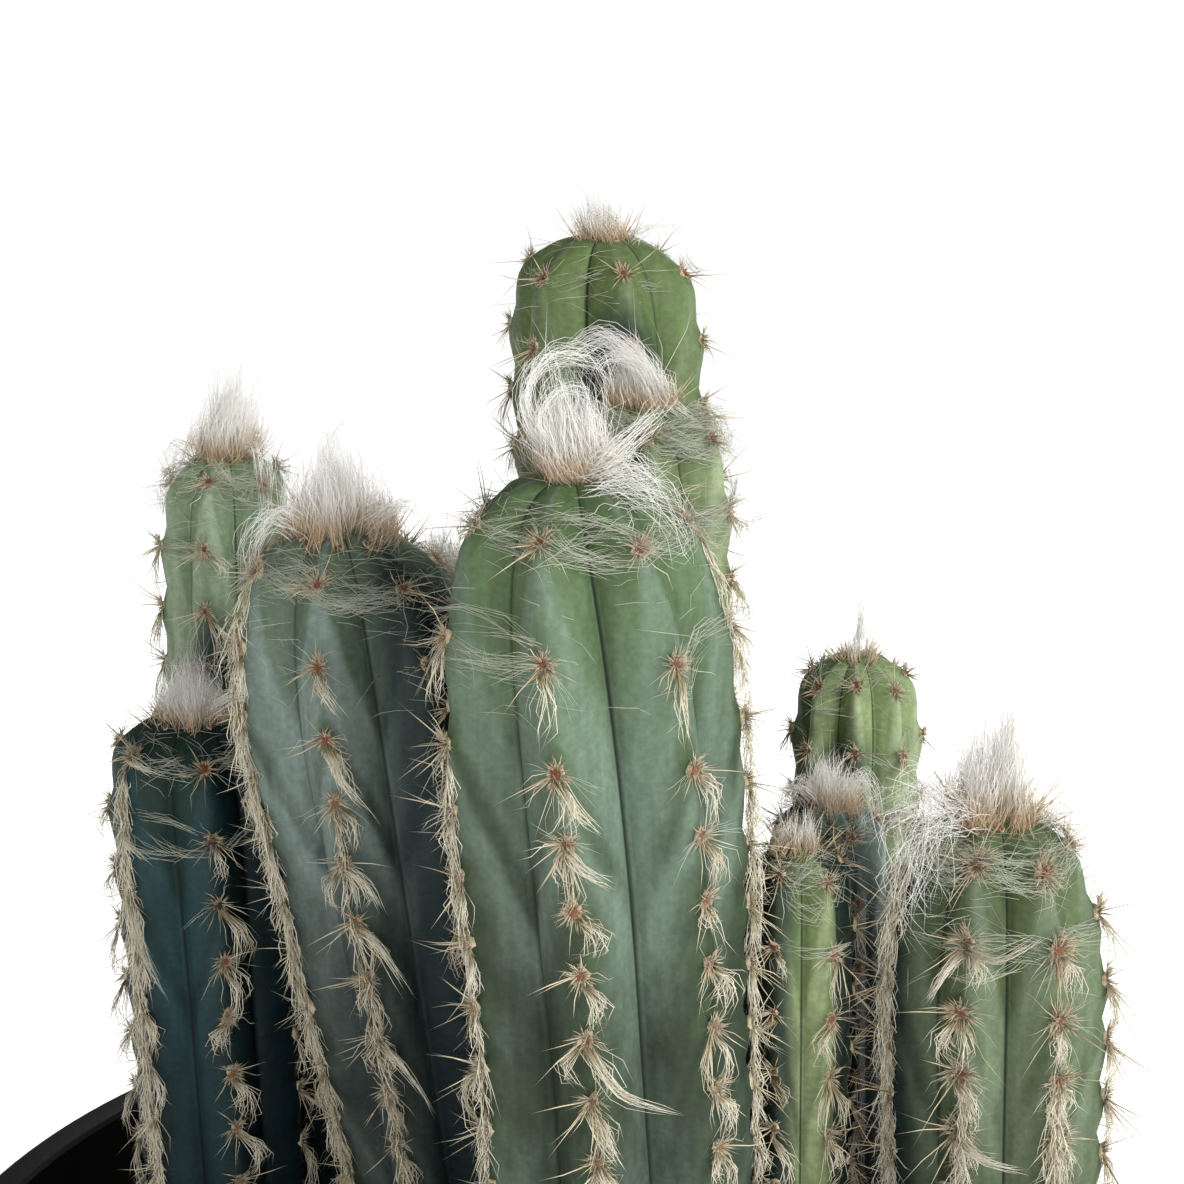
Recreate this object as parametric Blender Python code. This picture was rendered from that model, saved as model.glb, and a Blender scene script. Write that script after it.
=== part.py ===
"""A clump of blue torch cactus columns standing in a round nursery pot.

Frame: metres, +Z up, origin at the centre of the pot's underside. The clump's front faces -Y.
Nodes: the pot, the soil with a plain socket for each column, and for each column its ribbed body,
with the spines grown into it, and the tuft of wool that sits on its crown.
"""

import math
import random

import bmesh
import bpy
from mathutils import Matrix, Vector

MM = 0.001
GAP = 0.3 * MM  # what pieces that touch keep between them

# Pot: a moulded nursery pot with a turned-down lip
POT_HEIGHT = 240 * MM
RIM_RADIUS = 120 * MM
LIP_DEPTH = 14 * MM
LIP_STAND_OUT = 5 * MM
LIP_ROUNDING = 0.8 * MM
WALL = 2 * MM
BASE_RADIUS = 98 * MM
FOOT_RING_WIDTH = 14 * MM
FOOT_RING_HEIGHT = 4 * MM
POT_SIDES = 48
DRAIN_HOLES = 6
DRAIN_RADIUS = 6 * MM
DRAIN_CIRCLE = 62 * MM
DRAIN_SIDES = 8

# Soil
SOIL_TOP = 215 * MM
SOIL_SIDES = 32
SOIL_RINGS = (32 * MM, 64 * MM, 96 * MM)
SOIL_ROUGHNESS = 1.5 * MM
SOCKET_DEPTH = 24 * MM
SOCKET_SIDES = 12

# Columns, shared proportions
GROOVE_SHARE = 0.70  # groove radius over crest radius
FLANK_DROP = 0.44  # how far down a flank's middle lies, over the groove's depth
CREST_HALF_WIDTH = 0.09  # over the pitch of the ribs
SLIM_CREST_HALF_WIDTH = 0.14
DOME_POWER = 2.8  # 2 would be a round dome; more makes the crown flatter
CROWN_FLAT_SHARE = 0.40  # radius of the flat at the growing point over the crest radius
COLLAR_DEPTH = 1.5 * MM  # where the ribs run out into the round stub, below the soil's top
STUB_SHARE = 0.75  # radius of the stub's foot over the crest radius at the soil
DOME_RINGS = (0.50, 0.22, 0.08)  # depth below the tip, over the dome's depth
BODY_RING_SPACING = 65 * MM
SLIM_RADIUS = 15.8 * MM  # columns slimmer than this have plainer flanks
CROWN_TWIST_POWER = 4

# Areoles and their spines
AREOLE_SPACING = 11 * MM
FIRST_AREOLE_SHARE = 0.27  # depth of the highest areole below the tip, over the column's radius
AREOLE_STAGGER = 0.12  # how far every second rib's areoles lie lower, over the spacing
AREOLES_PER_SPINE = 2
LOWEST_AREOLE = 16 * MM  # above the soil
PAD_RADIUS = 1.7 * MM
PAD_SINK = 1.2 * MM
PAD_STAND_OUT = 0.9 * MM
SPINE_THICKNESS = 0.8 * MM
SPINE_LENGTHS = (7.5 * MM, 11.5 * MM)
SPINE_CLEARANCE = 1.0 * MM
SPINE_SAMPLES = 6
SPINE_LEAN = (0.35, 0.95)  # sideways for 1 outwards
SPINE_RISE = (-0.55, 0.45)  # upwards for 1 outwards
OTHER_LEANS = (1, -1, 0.3, -1.6, 1.6)  # what a spine's lean is multiplied by until it is clear
RIM_CLEARANCE = 3 * MM
SEED = 41

# Tufts of wool
TUFT_CORE_SHARE = 0.92  # radius of the core over the radius of the crown's flat
TUFT_HUB_SHARE = 0.30  # height of the core the locks stand out of, over the wool's height
TUFT_CUT = -0.12  # where the core is cut off flat, over its height
TUFT_ROOM = 2 * MM  # what other spines keep from a tuft, besides their clearance
TUFT_ROOM_START = 8 * MM  # how far below the tip that room starts
LOCK_REACH = (0.62, 1.0)
LOW_LOCK_HEIGHT = 0.14  # height of the outermost locks over the wool's height


class Column:
    """One column of the clump: its foot on the soil, its tip at the growing point.

    The sizes are given in millimetres, the first crest's turn and the twist in degrees, the crest
    radius at the soil and the dome's depth over the widest crest radius, and the wool as its
    height, its radius and how far it leans.
    """

    def __init__(self, name, foot, tip, radius, ribs, turn, twist, foot_share, dome, wool, lean):
        self.name = name
        self.foot = Vector((foot[0] * MM, foot[1] * MM, SOIL_TOP))
        self.tip = Vector(tip) * MM
        self.radius = radius * MM
        self.ribs = ribs
        self.turn = math.radians(turn)  # first crest, round from the front towards +X
        self.twist = math.radians(twist)  # how far the crests turn back at the crown
        self.foot_share = foot_share
        self.wool_height = wool[0] * MM
        self.wool_radius = wool[1] * MM
        self.wool_lean = Vector((lean[0], lean[1], 0))
        self.length = self.tip.z - self.foot.z
        self.dome = dome * self.radius

    def axis(self, height):
        """The axis's point at a height above the soil."""
        return self.foot.lerp(self.tip, height / self.length)

    def crest_radius(self, height):
        """Radius over the crests at a height above the soil."""
        share = min(1.0, max(0.0, height / self.length))
        filled = self.foot_share + (1 - self.foot_share) * share * share * (3 - 2 * share)
        below_tip = self.length - height
        if below_tip >= self.dome:
            return self.radius * filled
        part = 1 - max(0.0, below_tip) / self.dome
        return self.radius * filled * (1 - part**DOME_POWER) ** (1 / DOME_POWER)

    def crest_angle(self, rib, height):
        """Where a rib's crest lies, as an angle round the axis from -Y towards +X."""
        share = max(0.0, height / self.length)
        return self.turn + math.tau * rib / self.ribs - self.twist * share**CROWN_TWIST_POWER

    def point(self, height, angle, radius):
        return self.axis(height) + radius * outward(angle)


def outward(angle):
    return Vector((math.sin(angle), -math.cos(angle), 0))


COLUMNS = (
    Column("tall_back", (18, 39.5), (12, 43.5, 433.5), 18.3, 6, 18, 4, 0.85, 1.35, (12, 8), (-0.25, 0)),
    Column("centre_front", (17.9, -39.5), (7.3, -49, 411.5), 24.3, 7, -4.4, 16.6, 0.92, 2.3,
           (22, 11), (-0.5, 0)),
    Column("centre_back", (23, 3.5), (19, 5.5, 411), 15.5, 6, 8, 6, 0.85, 1.5, (15, 9), (-0.6, -0.2)),
    Column("left_front", (-10, -9.5), (-31.8, -16.5, 394.5), 22, 7, -15, -5, 0.68, 2.0,
           (22, 11), (0.05, 0)),
    Column("left_side", (-59, 5.5), (-62.7, 9.5, 352), 16, 6, -38, 4, 0.95, 1.25, (16, 9), (0.35, 0)),
    Column("left_back", (-63, 42.5), (-59.5, 45, 392), 12.5, 6, -12, 0, 0.85, 1.5, (18, 8.5), (0.2, 0)),
    Column("right_front", (83.8, -23.5), (76.7, -28.5, 349), 18.8, 7, -28, -6, 0.92, 2.4,
           (25, 11), (0.05, 0)),
    Column("right_back", (63, 39.5), (61.7, 43.5, 352), 12.4, 8, -8, 0, 0.85, 1.6, (11, 5.5), (0, 0)),
    Column("right_inner", (58, 7.5), (53, 7.5, 336.5), 10.5, 6, -38, 0, 0.85, 1.5, (13, 8), (-0.2, 0)),
    Column("right_small", (47, -25.5), (44.4, -26.5, 342), 9.6, 6, -28, 0, 0.85, 1.6, (8, 5), (0.2, 0)),
    Column("left_inner", (-17.5, 19.5), (-17.5, 23.5, 374), 12, 6, 0, 0, 0.85, 1.5, (13, 7), (0, -0.2)),
    Column("left_hidden", (-40.5, 26), (-41.5, 29.5, 344), 10, 6, 15, 0, 0.85, 1.5, (10, 5.5), (0, 0)),
)


def clear_scene():
    for obj in list(bpy.data.objects):
        bpy.data.objects.remove(obj)


def material(name, colour, roughness):
    """A Principled material with no metal in it; the colour is linear RGB."""
    made = bpy.data.materials.new(name)
    made.use_nodes = True
    shader = made.node_tree.nodes["Principled BSDF"]
    shader.inputs["Base Color"].default_value = (*colour, 1)
    shader.inputs["Roughness"].default_value = roughness
    shader.inputs["Metallic"].default_value = 0
    return made


def new_object(name, mesh, finish=None):
    obj = bpy.data.objects.new(name, mesh)
    bpy.context.scene.collection.objects.link(obj)
    if finish:
        mesh.materials.append(finish)
    return obj


def object_from(name, bm, finish=None):
    """An object from a bmesh, with its faces pointing out."""
    bmesh.ops.recalc_face_normals(bm, faces=bm.faces)
    mesh = bpy.data.meshes.new(name)
    bm.to_mesh(mesh)
    bm.free()
    return new_object(name, mesh, finish)


def ring_of(bm, points):
    return [bm.verts.new(point) for point in points]


def skin(bm, rings):
    """Faces between rings of equal counts, with a flat face at each end."""
    for low, high in zip(rings, rings[1:]):
        for i in range(len(low)):
            j = (i + 1) % len(low)
            bm.faces.new((low[i], low[j], high[j], high[i]))
    bm.faces.new(rings[0][::-1])
    bm.faces.new(rings[-1])


def circle(centre, radius, sides, start=0.0):
    return [
        centre + radius * outward(start + math.tau * i / sides) for i in range(sides)
    ]


def cylinder(name, centre, radius, low, high, sides):
    bm = bmesh.new()
    skin(
        bm,
        [
            ring_of(bm, circle(Vector((centre[0], centre[1], z)), radius, sides))
            for z in (low, high)
        ],
    )
    return object_from(name, bm)


def apply_boolean(obj, operation, tools, solver="EXACT"):
    """Applies one Boolean of obj with all the tools together, and removes the tools."""
    collection = bpy.data.collections.new("tools")
    bpy.context.scene.collection.children.link(collection)
    for tool in tools:
        bpy.context.scene.collection.objects.unlink(tool)
        collection.objects.link(tool)
    modifier = obj.modifiers.new(operation.lower(), "BOOLEAN")
    modifier.operation = operation
    modifier.operand_type = "COLLECTION"
    modifier.collection = collection
    modifier.solver = solver
    bpy.context.view_layer.objects.active = obj
    bpy.ops.object.modifier_apply(modifier=modifier.name)
    for tool in tools:
        bpy.data.objects.remove(tool)
    bpy.data.collections.remove(collection)


def wall_radius(z):
    """The pot's outer radius below the lip, at a height."""
    top = RIM_RADIUS - LIP_STAND_OUT
    return BASE_RADIUS + (top - BASE_RADIUS) * z / POT_HEIGHT


def make_pot(finish):
    """The wall and floor are one turned profile; the drain holes are cut through the floor."""
    lip_foot = POT_HEIGHT - LIP_DEPTH
    lip_inside = RIM_RADIUS - WALL
    under_lip = POT_HEIGHT - WALL
    floor = FOOT_RING_HEIGHT + WALL
    ring_inside = BASE_RADIUS - FOOT_RING_WIDTH
    profile = (
        (ring_inside, 0),
        (BASE_RADIUS, 0),
        (wall_radius(under_lip), under_lip),
        (lip_inside, under_lip),
        (lip_inside, lip_foot),
        (RIM_RADIUS, lip_foot),
        (RIM_RADIUS, POT_HEIGHT - LIP_ROUNDING),
        (RIM_RADIUS - LIP_ROUNDING, POT_HEIGHT),
        (wall_radius(POT_HEIGHT) - WALL, POT_HEIGHT),
        (wall_radius(floor) - WALL, floor),
        (0, floor),
        (0, FOOT_RING_HEIGHT),
        (ring_inside - FOOT_RING_HEIGHT, FOOT_RING_HEIGHT),
    )
    bm = bmesh.new()
    verts = ring_of(bm, [Vector((radius, 0, z)) for radius, z in profile])
    edges = [bm.edges.new(pair) for pair in zip(verts, verts[1:] + verts[:1])]
    on_axis = next(e for e in edges if all(v.co.x == 0 for v in e.verts))
    edges.remove(on_axis)
    bm.edges.remove(on_axis)
    bmesh.ops.spin(
        bm,
        geom=verts + edges,
        cent=(0, 0, 0),
        axis=(0, 0, 1),
        angle=math.tau,
        steps=POT_SIDES,
        use_merge=True,
    )
    bmesh.ops.remove_doubles(bm, verts=bm.verts, dist=0.02 * MM)
    pot = object_from("pot", bm, finish)
    holes = []
    for i in range(DRAIN_HOLES):
        centre = DRAIN_CIRCLE * outward(math.tau * i / DRAIN_HOLES)
        holes.append(cylinder("hole", centre, DRAIN_RADIUS, -WALL, floor + WALL, DRAIN_SIDES))
    apply_boolean(pot, "DIFFERENCE", holes)
    return pot


def soil_height(x, y):
    """The soil's surface: low waves that stand in for its crumbs."""
    waves = math.sin(210 * x + 1.3) * math.cos(170 * y) + 0.6 * math.sin(390 * (x - y))
    return SOIL_TOP + SOIL_ROUGHNESS * 0.6 * waves


def make_soil(finish):
    """Fills the pot up to SOIL_TOP, with a plain socket for each column."""
    floor = FOOT_RING_HEIGHT + WALL + GAP
    bottom = wall_radius(floor) - WALL - GAP
    top = wall_radius(SOIL_TOP) - WALL - GAP
    # A faceted circle's flats lie inside it, so the soil turns with the pot's facets.
    inside = math.cos(math.pi / POT_SIDES)
    bm = bmesh.new()
    rings = [ring_of(bm, circle(Vector((0, 0, floor)), bottom * inside, SOIL_SIDES))]
    rings.append(ring_of(bm, circle(Vector((0, 0, SOIL_TOP)), top * inside, SOIL_SIDES)))
    for radius in reversed(SOIL_RINGS):
        points = circle(Vector((0, 0, 0)), radius, SOIL_SIDES)
        for point in points:
            point.z = soil_height(point.x, point.y)
        rings.append(ring_of(bm, points))
    skin(bm, rings)
    middle = bmesh.ops.poke(bm, faces=[bm.faces[-1]] if bm.faces.ensure_lookup_table() else [])
    for vert in middle["verts"]:
        vert.co.z = soil_height(0, 0)
    soil = object_from("soil", bm, finish)
    low = SOIL_TOP - SOCKET_DEPTH
    high = SOIL_TOP + SOCKET_DEPTH
    sockets = []
    for column in COLUMNS:
        radius = (column.crest_radius(0) + GAP) / math.cos(math.pi / SOCKET_SIDES)
        sockets.append(cylinder("socket", column.foot, radius, low, high, SOCKET_SIDES))
    apply_boolean(soil, "DIFFERENCE", sockets, "MANIFOLD")
    return soil


def section(column, height):
    """The ribbed outline at a height: crest, flank and groove points round the axis."""
    crest = column.crest_radius(height)
    pitch = math.tau / column.ribs
    if column.radius < SLIM_RADIUS:
        half = SLIM_CREST_HALF_WIDTH
        shares = ((-half, 1.0), (half, 1.0), (0.5, GROOVE_SHARE))
    else:
        half = CREST_HALF_WIDTH
        flank = 1 - (1 - GROOVE_SHARE) * FLANK_DROP
        shares = ((-half, 1.0), (half, 1.0), (0.29, flank), (0.5, GROOVE_SHARE), (0.71, flank))
    points = []
    for rib in range(column.ribs):
        angle = column.crest_angle(rib, height)
        for turn, share in shares:
            points.append(column.point(height, angle + turn * pitch, crest * share))
    return points


def ring_heights(column):
    """Heights of the body's rings above the soil, from the foot of the dome's flat down."""
    straight = column.length - column.dome
    count = max(2, round(straight / BODY_RING_SPACING))
    heights = [straight * i / count for i in range(count + 1)]
    heights += [column.length - share * column.dome for share in DOME_RINGS]
    flat = (1 - CROWN_FLAT_SHARE**DOME_POWER) ** (1 / DOME_POWER)
    heights.append(column.length - (1 - flat) * column.dome)
    return heights


def make_body(column, finish):
    """The ribbed column on its round stub, which stands in the soil's socket."""
    bm = bmesh.new()
    rings = [section(column, height) for height in ring_heights(column)]
    stub = []
    for depth, share in ((SOCKET_DEPTH - GAP, STUB_SHARE), (COLLAR_DEPTH, 1)):
        centre = column.foot - Vector((0, 0, depth))
        reach = share * column.crest_radius(0)
        stub.append([centre + reach * (point - column.foot).normalized() for point in rings[0]])
    skin(bm, [ring_of(bm, points) for points in stub + rings])
    return object_from(column.name, bm, finish)


def areoles(column):
    """(height, rib, place in the row) of every areole, spaced down each crest from the crown."""
    first = FIRST_AREOLE_SHARE * column.radius
    found = []
    for rib in range(column.ribs):
        depth = first + (rib % 2) * AREOLE_STAGGER * AREOLE_SPACING
        row = 0
        while column.length - depth > LOWEST_AREOLE:
            found.append((column.length - depth, rib, row))
            depth += AREOLE_SPACING
            row += 1
    return found


def crest_frame(column, height, rib):
    """The crest's point, and its outward, sideways and upward directions."""
    angle = column.crest_angle(rib, height)
    step = 1 * MM
    low = column.point(height - step, angle, column.crest_radius(height - step))
    high = column.point(height, angle, column.crest_radius(height))
    up = (high - low).normalized()
    side = up.cross(outward(angle)).normalized()
    return high, side.cross(up).normalized(), side, up


def body_distance(point, column):
    """Distance from a point to the outside of a column and of its tuft; negative inside."""
    height = min(max(point.z - column.foot.z, 0), column.length)
    centre = column.axis(height)
    across = math.hypot(point.x - centre.x, point.y - centre.y)
    if point.z <= column.tip.z - TUFT_ROOM_START:
        return across - column.crest_radius(height)
    above = point.z - column.tip.z - column.wool_height
    reach = max(column.wool_radius + TUFT_ROOM, column.crest_radius(column.length - TUFT_ROOM_START))
    return max(across - reach, above)


def segment_gap(a, b, c, d):
    """Shortest distance between segments ab and cd, from points along both."""
    along = [a.lerp(b, i / SPINE_SAMPLES) for i in range(SPINE_SAMPLES + 1)]
    across = [c.lerp(d, i / SPINE_SAMPLES) for i in range(SPINE_SAMPLES + 1)]
    return min((p - q).length for p in along for q in across)


def is_clear(root, tip, column, placed):
    """True if a spine keeps clear of the other columns, their spines, and the soil and pot."""
    along = [root.lerp(tip, i / SPINE_SAMPLES) for i in range(1, SPINE_SAMPLES + 1)]
    for point in along:
        if point.z < SOIL_TOP + 3 * SOIL_ROUGHNESS:
            return False
        if math.hypot(point.x, point.y) > wall_radius(SOIL_TOP) - WALL - RIM_CLEARANCE:
            return False
        for other in COLUMNS:
            if other is not column and body_distance(point, other) < SPINE_CLEARANCE:
                return False
    near = (p for p in placed if (p[0] - root).length < 3 * SPINE_LENGTHS[1])
    return all(
        owner is column or segment_gap(root, tip, a, b) > 2 * SPINE_CLEARANCE
        for a, b, owner in near
    )


def make_spine(root, tip, out):
    """An areole's low felt pad with one needle growing from it, both three-sided."""
    rise = out.orthogonal().normalized()
    side = rise.cross(out)
    corners = [math.tau * i / 3 for i in range(3)]
    spread = [math.cos(angle) * side + math.sin(angle) * rise for angle in corners]
    bm = bmesh.new()
    base = ring_of(bm, [root - PAD_SINK * out + PAD_RADIUS * way for way in spread])
    neck_centre = root + PAD_STAND_OUT * out
    neck = ring_of(bm, [neck_centre + 0.5 * SPINE_THICKNESS * way for way in spread])
    point = bm.verts.new(tip)
    bm.faces.new(base)
    for i in range(3):
        j = (i + 1) % 3
        bm.faces.new((base[i], base[j], neck[j], neck[i]))
        bm.faces.new((neck[i], neck[j], point))
    return object_from("spine", bm)


def add_spines(body, column, chance, placed):
    """Grows the column's spines: one at every second areole, bent clear of what is near."""
    spines = []
    for height, rib, row in areoles(column):
        if (row + rib) % AREOLES_PER_SPINE and row > 0:
            continue
        crest, out, side, up = crest_frame(column, height, rib)
        length = chance.uniform(*SPINE_LENGTHS)
        lean = chance.choice((-1, 1)) * chance.uniform(*SPINE_LEAN)
        rise = chance.uniform(*SPINE_RISE)
        for share in OTHER_LEANS:
            direction = (out + share * lean * side + rise * up).normalized()
            tip = crest + length * direction
            if is_clear(crest, tip, column, placed):
                placed.append((crest, tip, column))
                spines.append(make_spine(crest, tip, out))
                break
    apply_boolean(body, "UNION", spines, "MANIFOLD")


def make_tuft(column, chance, finish):
    """The crown's wool: a low core that tapering locks stand out of on every side."""
    flat = (1 - CROWN_FLAT_SHARE**DOME_POWER) ** (1 / DOME_POWER)
    core_radius = TUFT_CORE_SHARE * CROWN_FLAT_SHARE * column.radius
    core_height = TUFT_HUB_SHARE * column.wool_height
    seat = column.tip.z - (1 - flat) * column.dome + GAP
    centre = Vector((column.tip.x, column.tip.y, seat - TUFT_CUT * core_height))
    bm = bmesh.new()
    bmesh.ops.create_icosphere(bm, subdivisions=2, radius=1)
    turn = Matrix.Rotation(chance.uniform(0, math.tau), 3, "Z") @ Matrix.Rotation(0.3, 3, "X")
    bmesh.ops.rotate(bm, verts=bm.verts, cent=(0, 0, 0), matrix=turn)
    cut = bmesh.ops.bisect_plane(
        bm,
        geom=bm.verts[:] + bm.edges[:] + bm.faces[:],
        plane_co=(0, 0, TUFT_CUT),
        plane_no=(0, 0, -1),
        clear_outer=True,
    )
    fleece = list(bm.faces)
    rim = [item for item in cut["geom_cut"] if isinstance(item, bmesh.types.BMEdge)]
    bmesh.ops.contextual_create(bm, geom=rim)
    for face in fleece:
        way = face.calc_center_median().normalized()
        point = bmesh.ops.poke(bm, faces=[face])["verts"][0]
        reach = chance.uniform(*LOCK_REACH)
        rise = LOW_LOCK_HEIGHT + (1 - LOW_LOCK_HEIGHT) * max(0, way.z)
        spread = Vector((way.x, way.y, 0)) * (0.6 + 0.4 * reach)
        lock = column.wool_radius * (spread + column.wool_lean * rise * reach)
        lock.z = column.wool_height * rise * reach
        point.co = Vector((lock.x / core_radius, lock.y / core_radius, lock.z / core_height))
    bmesh.ops.scale(bm, verts=bm.verts, vec=(core_radius, core_radius, core_height))
    bmesh.ops.translate(bm, verts=bm.verts, vec=centre)
    return object_from(column.name + "_wool", bm, finish)


def main():
    clear_scene()
    flesh = material("cactus skin", (0.13, 0.25, 0.20), 0.55)
    wool = material("wool", (0.80, 0.76, 0.68), 0.90)
    make_pot(material("black plastic", (0.012, 0.012, 0.013), 0.40))
    make_soil(material("potting soil", (0.035, 0.024, 0.016), 0.95))
    chance = random.Random(SEED)
    placed = []
    for column in COLUMNS:
        body = make_body(column, flesh)
        add_spines(body, column, chance, placed)
        make_tuft(column, chance, wool)


main()
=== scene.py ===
"""Looks of the potted blue torch cactus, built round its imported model.

Lengths are metres. The clump faces -Y and stands on the floor at Z = 0. Each column keeps the
place, height and ribs of its solid and gets its own skin, felt, spines and wool.
"""

import math
from functools import partial

import bpy
import numpy as np
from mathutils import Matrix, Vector


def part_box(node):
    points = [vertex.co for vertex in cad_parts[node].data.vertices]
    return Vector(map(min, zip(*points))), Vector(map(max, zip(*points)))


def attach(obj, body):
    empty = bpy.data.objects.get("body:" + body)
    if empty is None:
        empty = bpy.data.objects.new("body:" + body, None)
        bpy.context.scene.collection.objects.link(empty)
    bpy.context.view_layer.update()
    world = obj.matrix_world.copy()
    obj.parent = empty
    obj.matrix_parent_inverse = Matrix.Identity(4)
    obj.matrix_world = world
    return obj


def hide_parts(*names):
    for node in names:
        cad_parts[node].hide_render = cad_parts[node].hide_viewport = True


bl_info = {
    "name": "Potted blue torch cactus",
    "version": (1, 0, 0),
    "blender": (4, 5, 0),
    "location": "View3D > Sidebar > Cactus",
    "description": "Builds the skin, spines, wool, soil and pot of a potted cactus",
    "category": "Object",
}

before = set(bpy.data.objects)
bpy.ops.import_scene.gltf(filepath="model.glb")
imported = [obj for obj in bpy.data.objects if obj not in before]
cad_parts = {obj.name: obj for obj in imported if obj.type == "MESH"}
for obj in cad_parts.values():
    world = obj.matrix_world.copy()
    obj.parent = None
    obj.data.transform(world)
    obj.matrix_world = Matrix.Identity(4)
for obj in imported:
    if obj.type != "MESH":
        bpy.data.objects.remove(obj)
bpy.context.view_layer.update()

MM = 0.001
TAU = math.tau

# Proportions that all columns share with their solids
GROOVE_SHARE = 0.70
DOME_POWER = 2.8
CROWN_TWIST_POWER = 4
FIRST_AREOLE_SHARE = 0.27
AREOLE_STAGGER = 0.12
LOWEST_AREOLE = 16 * MM
SOIL_TOP = 215 * MM
# The skin's section: rounded crests, full flanks and a sharp fold in each groove
CREST_SOFTNESS, CREST_SHIFT, FLANK_POWER = 0.0122, 0.11, 1.1
FOLD_DEPTH, FOLD_WIDTH = 0.035, 0.06
LAST_RING_SHARE = 0.9995  # height of the skin's last ring over the dome's

# Start of each piece's random numbers
SOIL_SEED, SPINE_SEED, CROWN_SEED, AREOLE_SEED = 5, 100, 300, 500

# The camera that was fitted to the photo, and the point of the clump that the lights face
PHOTO_PIXELS, FOCAL_PIXELS, LOOKING_DOWN = 1184, 2400, 17
CAMERA_PLACE = (0.010, -0.3985, 0.500)
LIT_POINT = (0, 0, 0.33)
# Soft round lights: name, place, size across, and power over the main light's
LIGHTS = (
    ("main", (1.05, -0.85, 1.05), 0.8, 1),
    ("front", (-0.15, -1.35, 0.85), 0.7, 0.3),
    ("behind", (0.25, 1.35, 0.8), 0.9, 0.28),
)

# How a column looks where it doesn't say otherwise
LOOKS = {
    "puff": 1.0,  # size of its areoles
    "shade": (0.62, 0.14),  # how dark painted shade makes the skin lower down, and at which depth below the tip it is darkest
    "lean": (0, 0),  # how far its crown wool leans to the right and back, over its height
    "fleece": 1.0,  # how much wool its areoles carry
    "woolly_ribs": {},  # which ribs carry more of it
    "tan": 0.2,  # how brown that wool is
    "web": 1.0,  # how many hairs are spun over its crown
    "spine": 1.0,  # how long its spines are
    "stretch": 0.1,  # how much wider its first areoles are spaced
}


class Column:
    """One column: foot, tip and radius in mm, its first crest and twist in degrees, foot share and
    dome over the radius, and its crown wool's height in mm, number of hairs and seat over the radius.
    """

    def __init__(self, name, foot, tip, radius, ribs, first_crest, twist, foot_share, dome,
                 skin, tuft, **looks):
        self.name, self.ribs, self.foot_share, self.skin = name, ribs, foot_share, skin
        self.foot = np.array((foot[0] * MM, foot[1] * MM, SOIL_TOP))
        self.tip = np.array(tip) * MM
        self.radius = radius * MM
        self.first_crest, self.twist = math.radians(first_crest), math.radians(twist)
        self.dome = dome * self.radius
        self.length = self.tip[2] - self.foot[2]
        self.tuft_height, self.tuft_hairs, self.seat = tuft[0] * MM, tuft[1], tuft[2]
        for key, usual in LOOKS.items():
            setattr(self, key, looks.get(key, usual))
        self.lean = np.array((*self.lean, 0.0))

    def axis(self, height):
        """Points of the axis at heights above the soil."""
        return self.foot + (self.tip - self.foot) * (np.asarray(height)[..., None] / self.length)

    def crest_radius(self, height):
        share = np.clip(height / self.length, 0, 1)
        filled = self.foot_share + (1 - self.foot_share) * share**2 * (3 - 2 * share)
        part = np.clip(1 - (self.length - height) / self.dome, 0, 1)
        return self.radius * filled * (1 - part**DOME_POWER) ** (1 / DOME_POWER)

    def crest_angle(self, rib, height):
        share = np.clip(height / self.length, 0, None)
        return self.first_crest + TAU * rib / self.ribs - self.twist * share**CROWN_TWIST_POWER

    def groove(self, angle, height):
        """0 on a crest, 1 in the bottom of a groove."""
        turns = (angle - self.crest_angle(0, height)) * self.ribs / TAU
        return 2 * np.abs(turns - np.round(turns))

    def skin_radius(self, angle, height):
        """Distance of the skin from the axis."""
        across = self.groove(angle, height)
        fall = (np.sqrt(across**2 + CREST_SOFTNESS) - CREST_SHIFT) ** FLANK_POWER
        fold = FOLD_DEPTH * np.exp(-(((1 - across) / FOLD_WIDTH) ** 2))
        return self.crest_radius(height) * (1 - (1 - GROOVE_SHARE) * fall - fold)

    def crown_depth(self, share):
        """How far below the tip the dome's skin is at a share of the radius."""
        return self.dome * (1 - (1 - np.minimum(share, 1) ** DOME_POWER) ** (1 / DOME_POWER))

    def point(self, angle, height, radius):
        return self.axis(height) + outward(angle) * radius[..., None]


def outward(angle):
    """Directions away from an upright axis, from the front at 0 over the right."""
    return np.stack((np.sin(angle), -np.cos(angle), np.zeros_like(angle)), axis=-1)


# Skins: flank, waxy bloom, painted groove shade and young growth, as sRGB hex
BLUE_GREY = ("43544D", "84958F", "0E1615", "687B60")
DEEP_TEAL = ("0F2324", "29454A", "071010", "243B31")
SAGE = ("3F4F3A", "6D806F", "131B13", "5E7549")
GREEN = ("4A5A39", "738360", "1A2213", "627746")
PALE = ("627459", "95A78E", "202820", "7B8F6F")
LIME = ("6C7D50", "98A67C", "1E2812", "849B62")
LEAF = ("78895F", "A0AE8A", "26331A", "8A9F6B")
GREY = ("667D80", "A4BAB9", "1A2524", "7E9486")
OLIVE = ("46543A", "707F66", "171E14", "5F7148")

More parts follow.
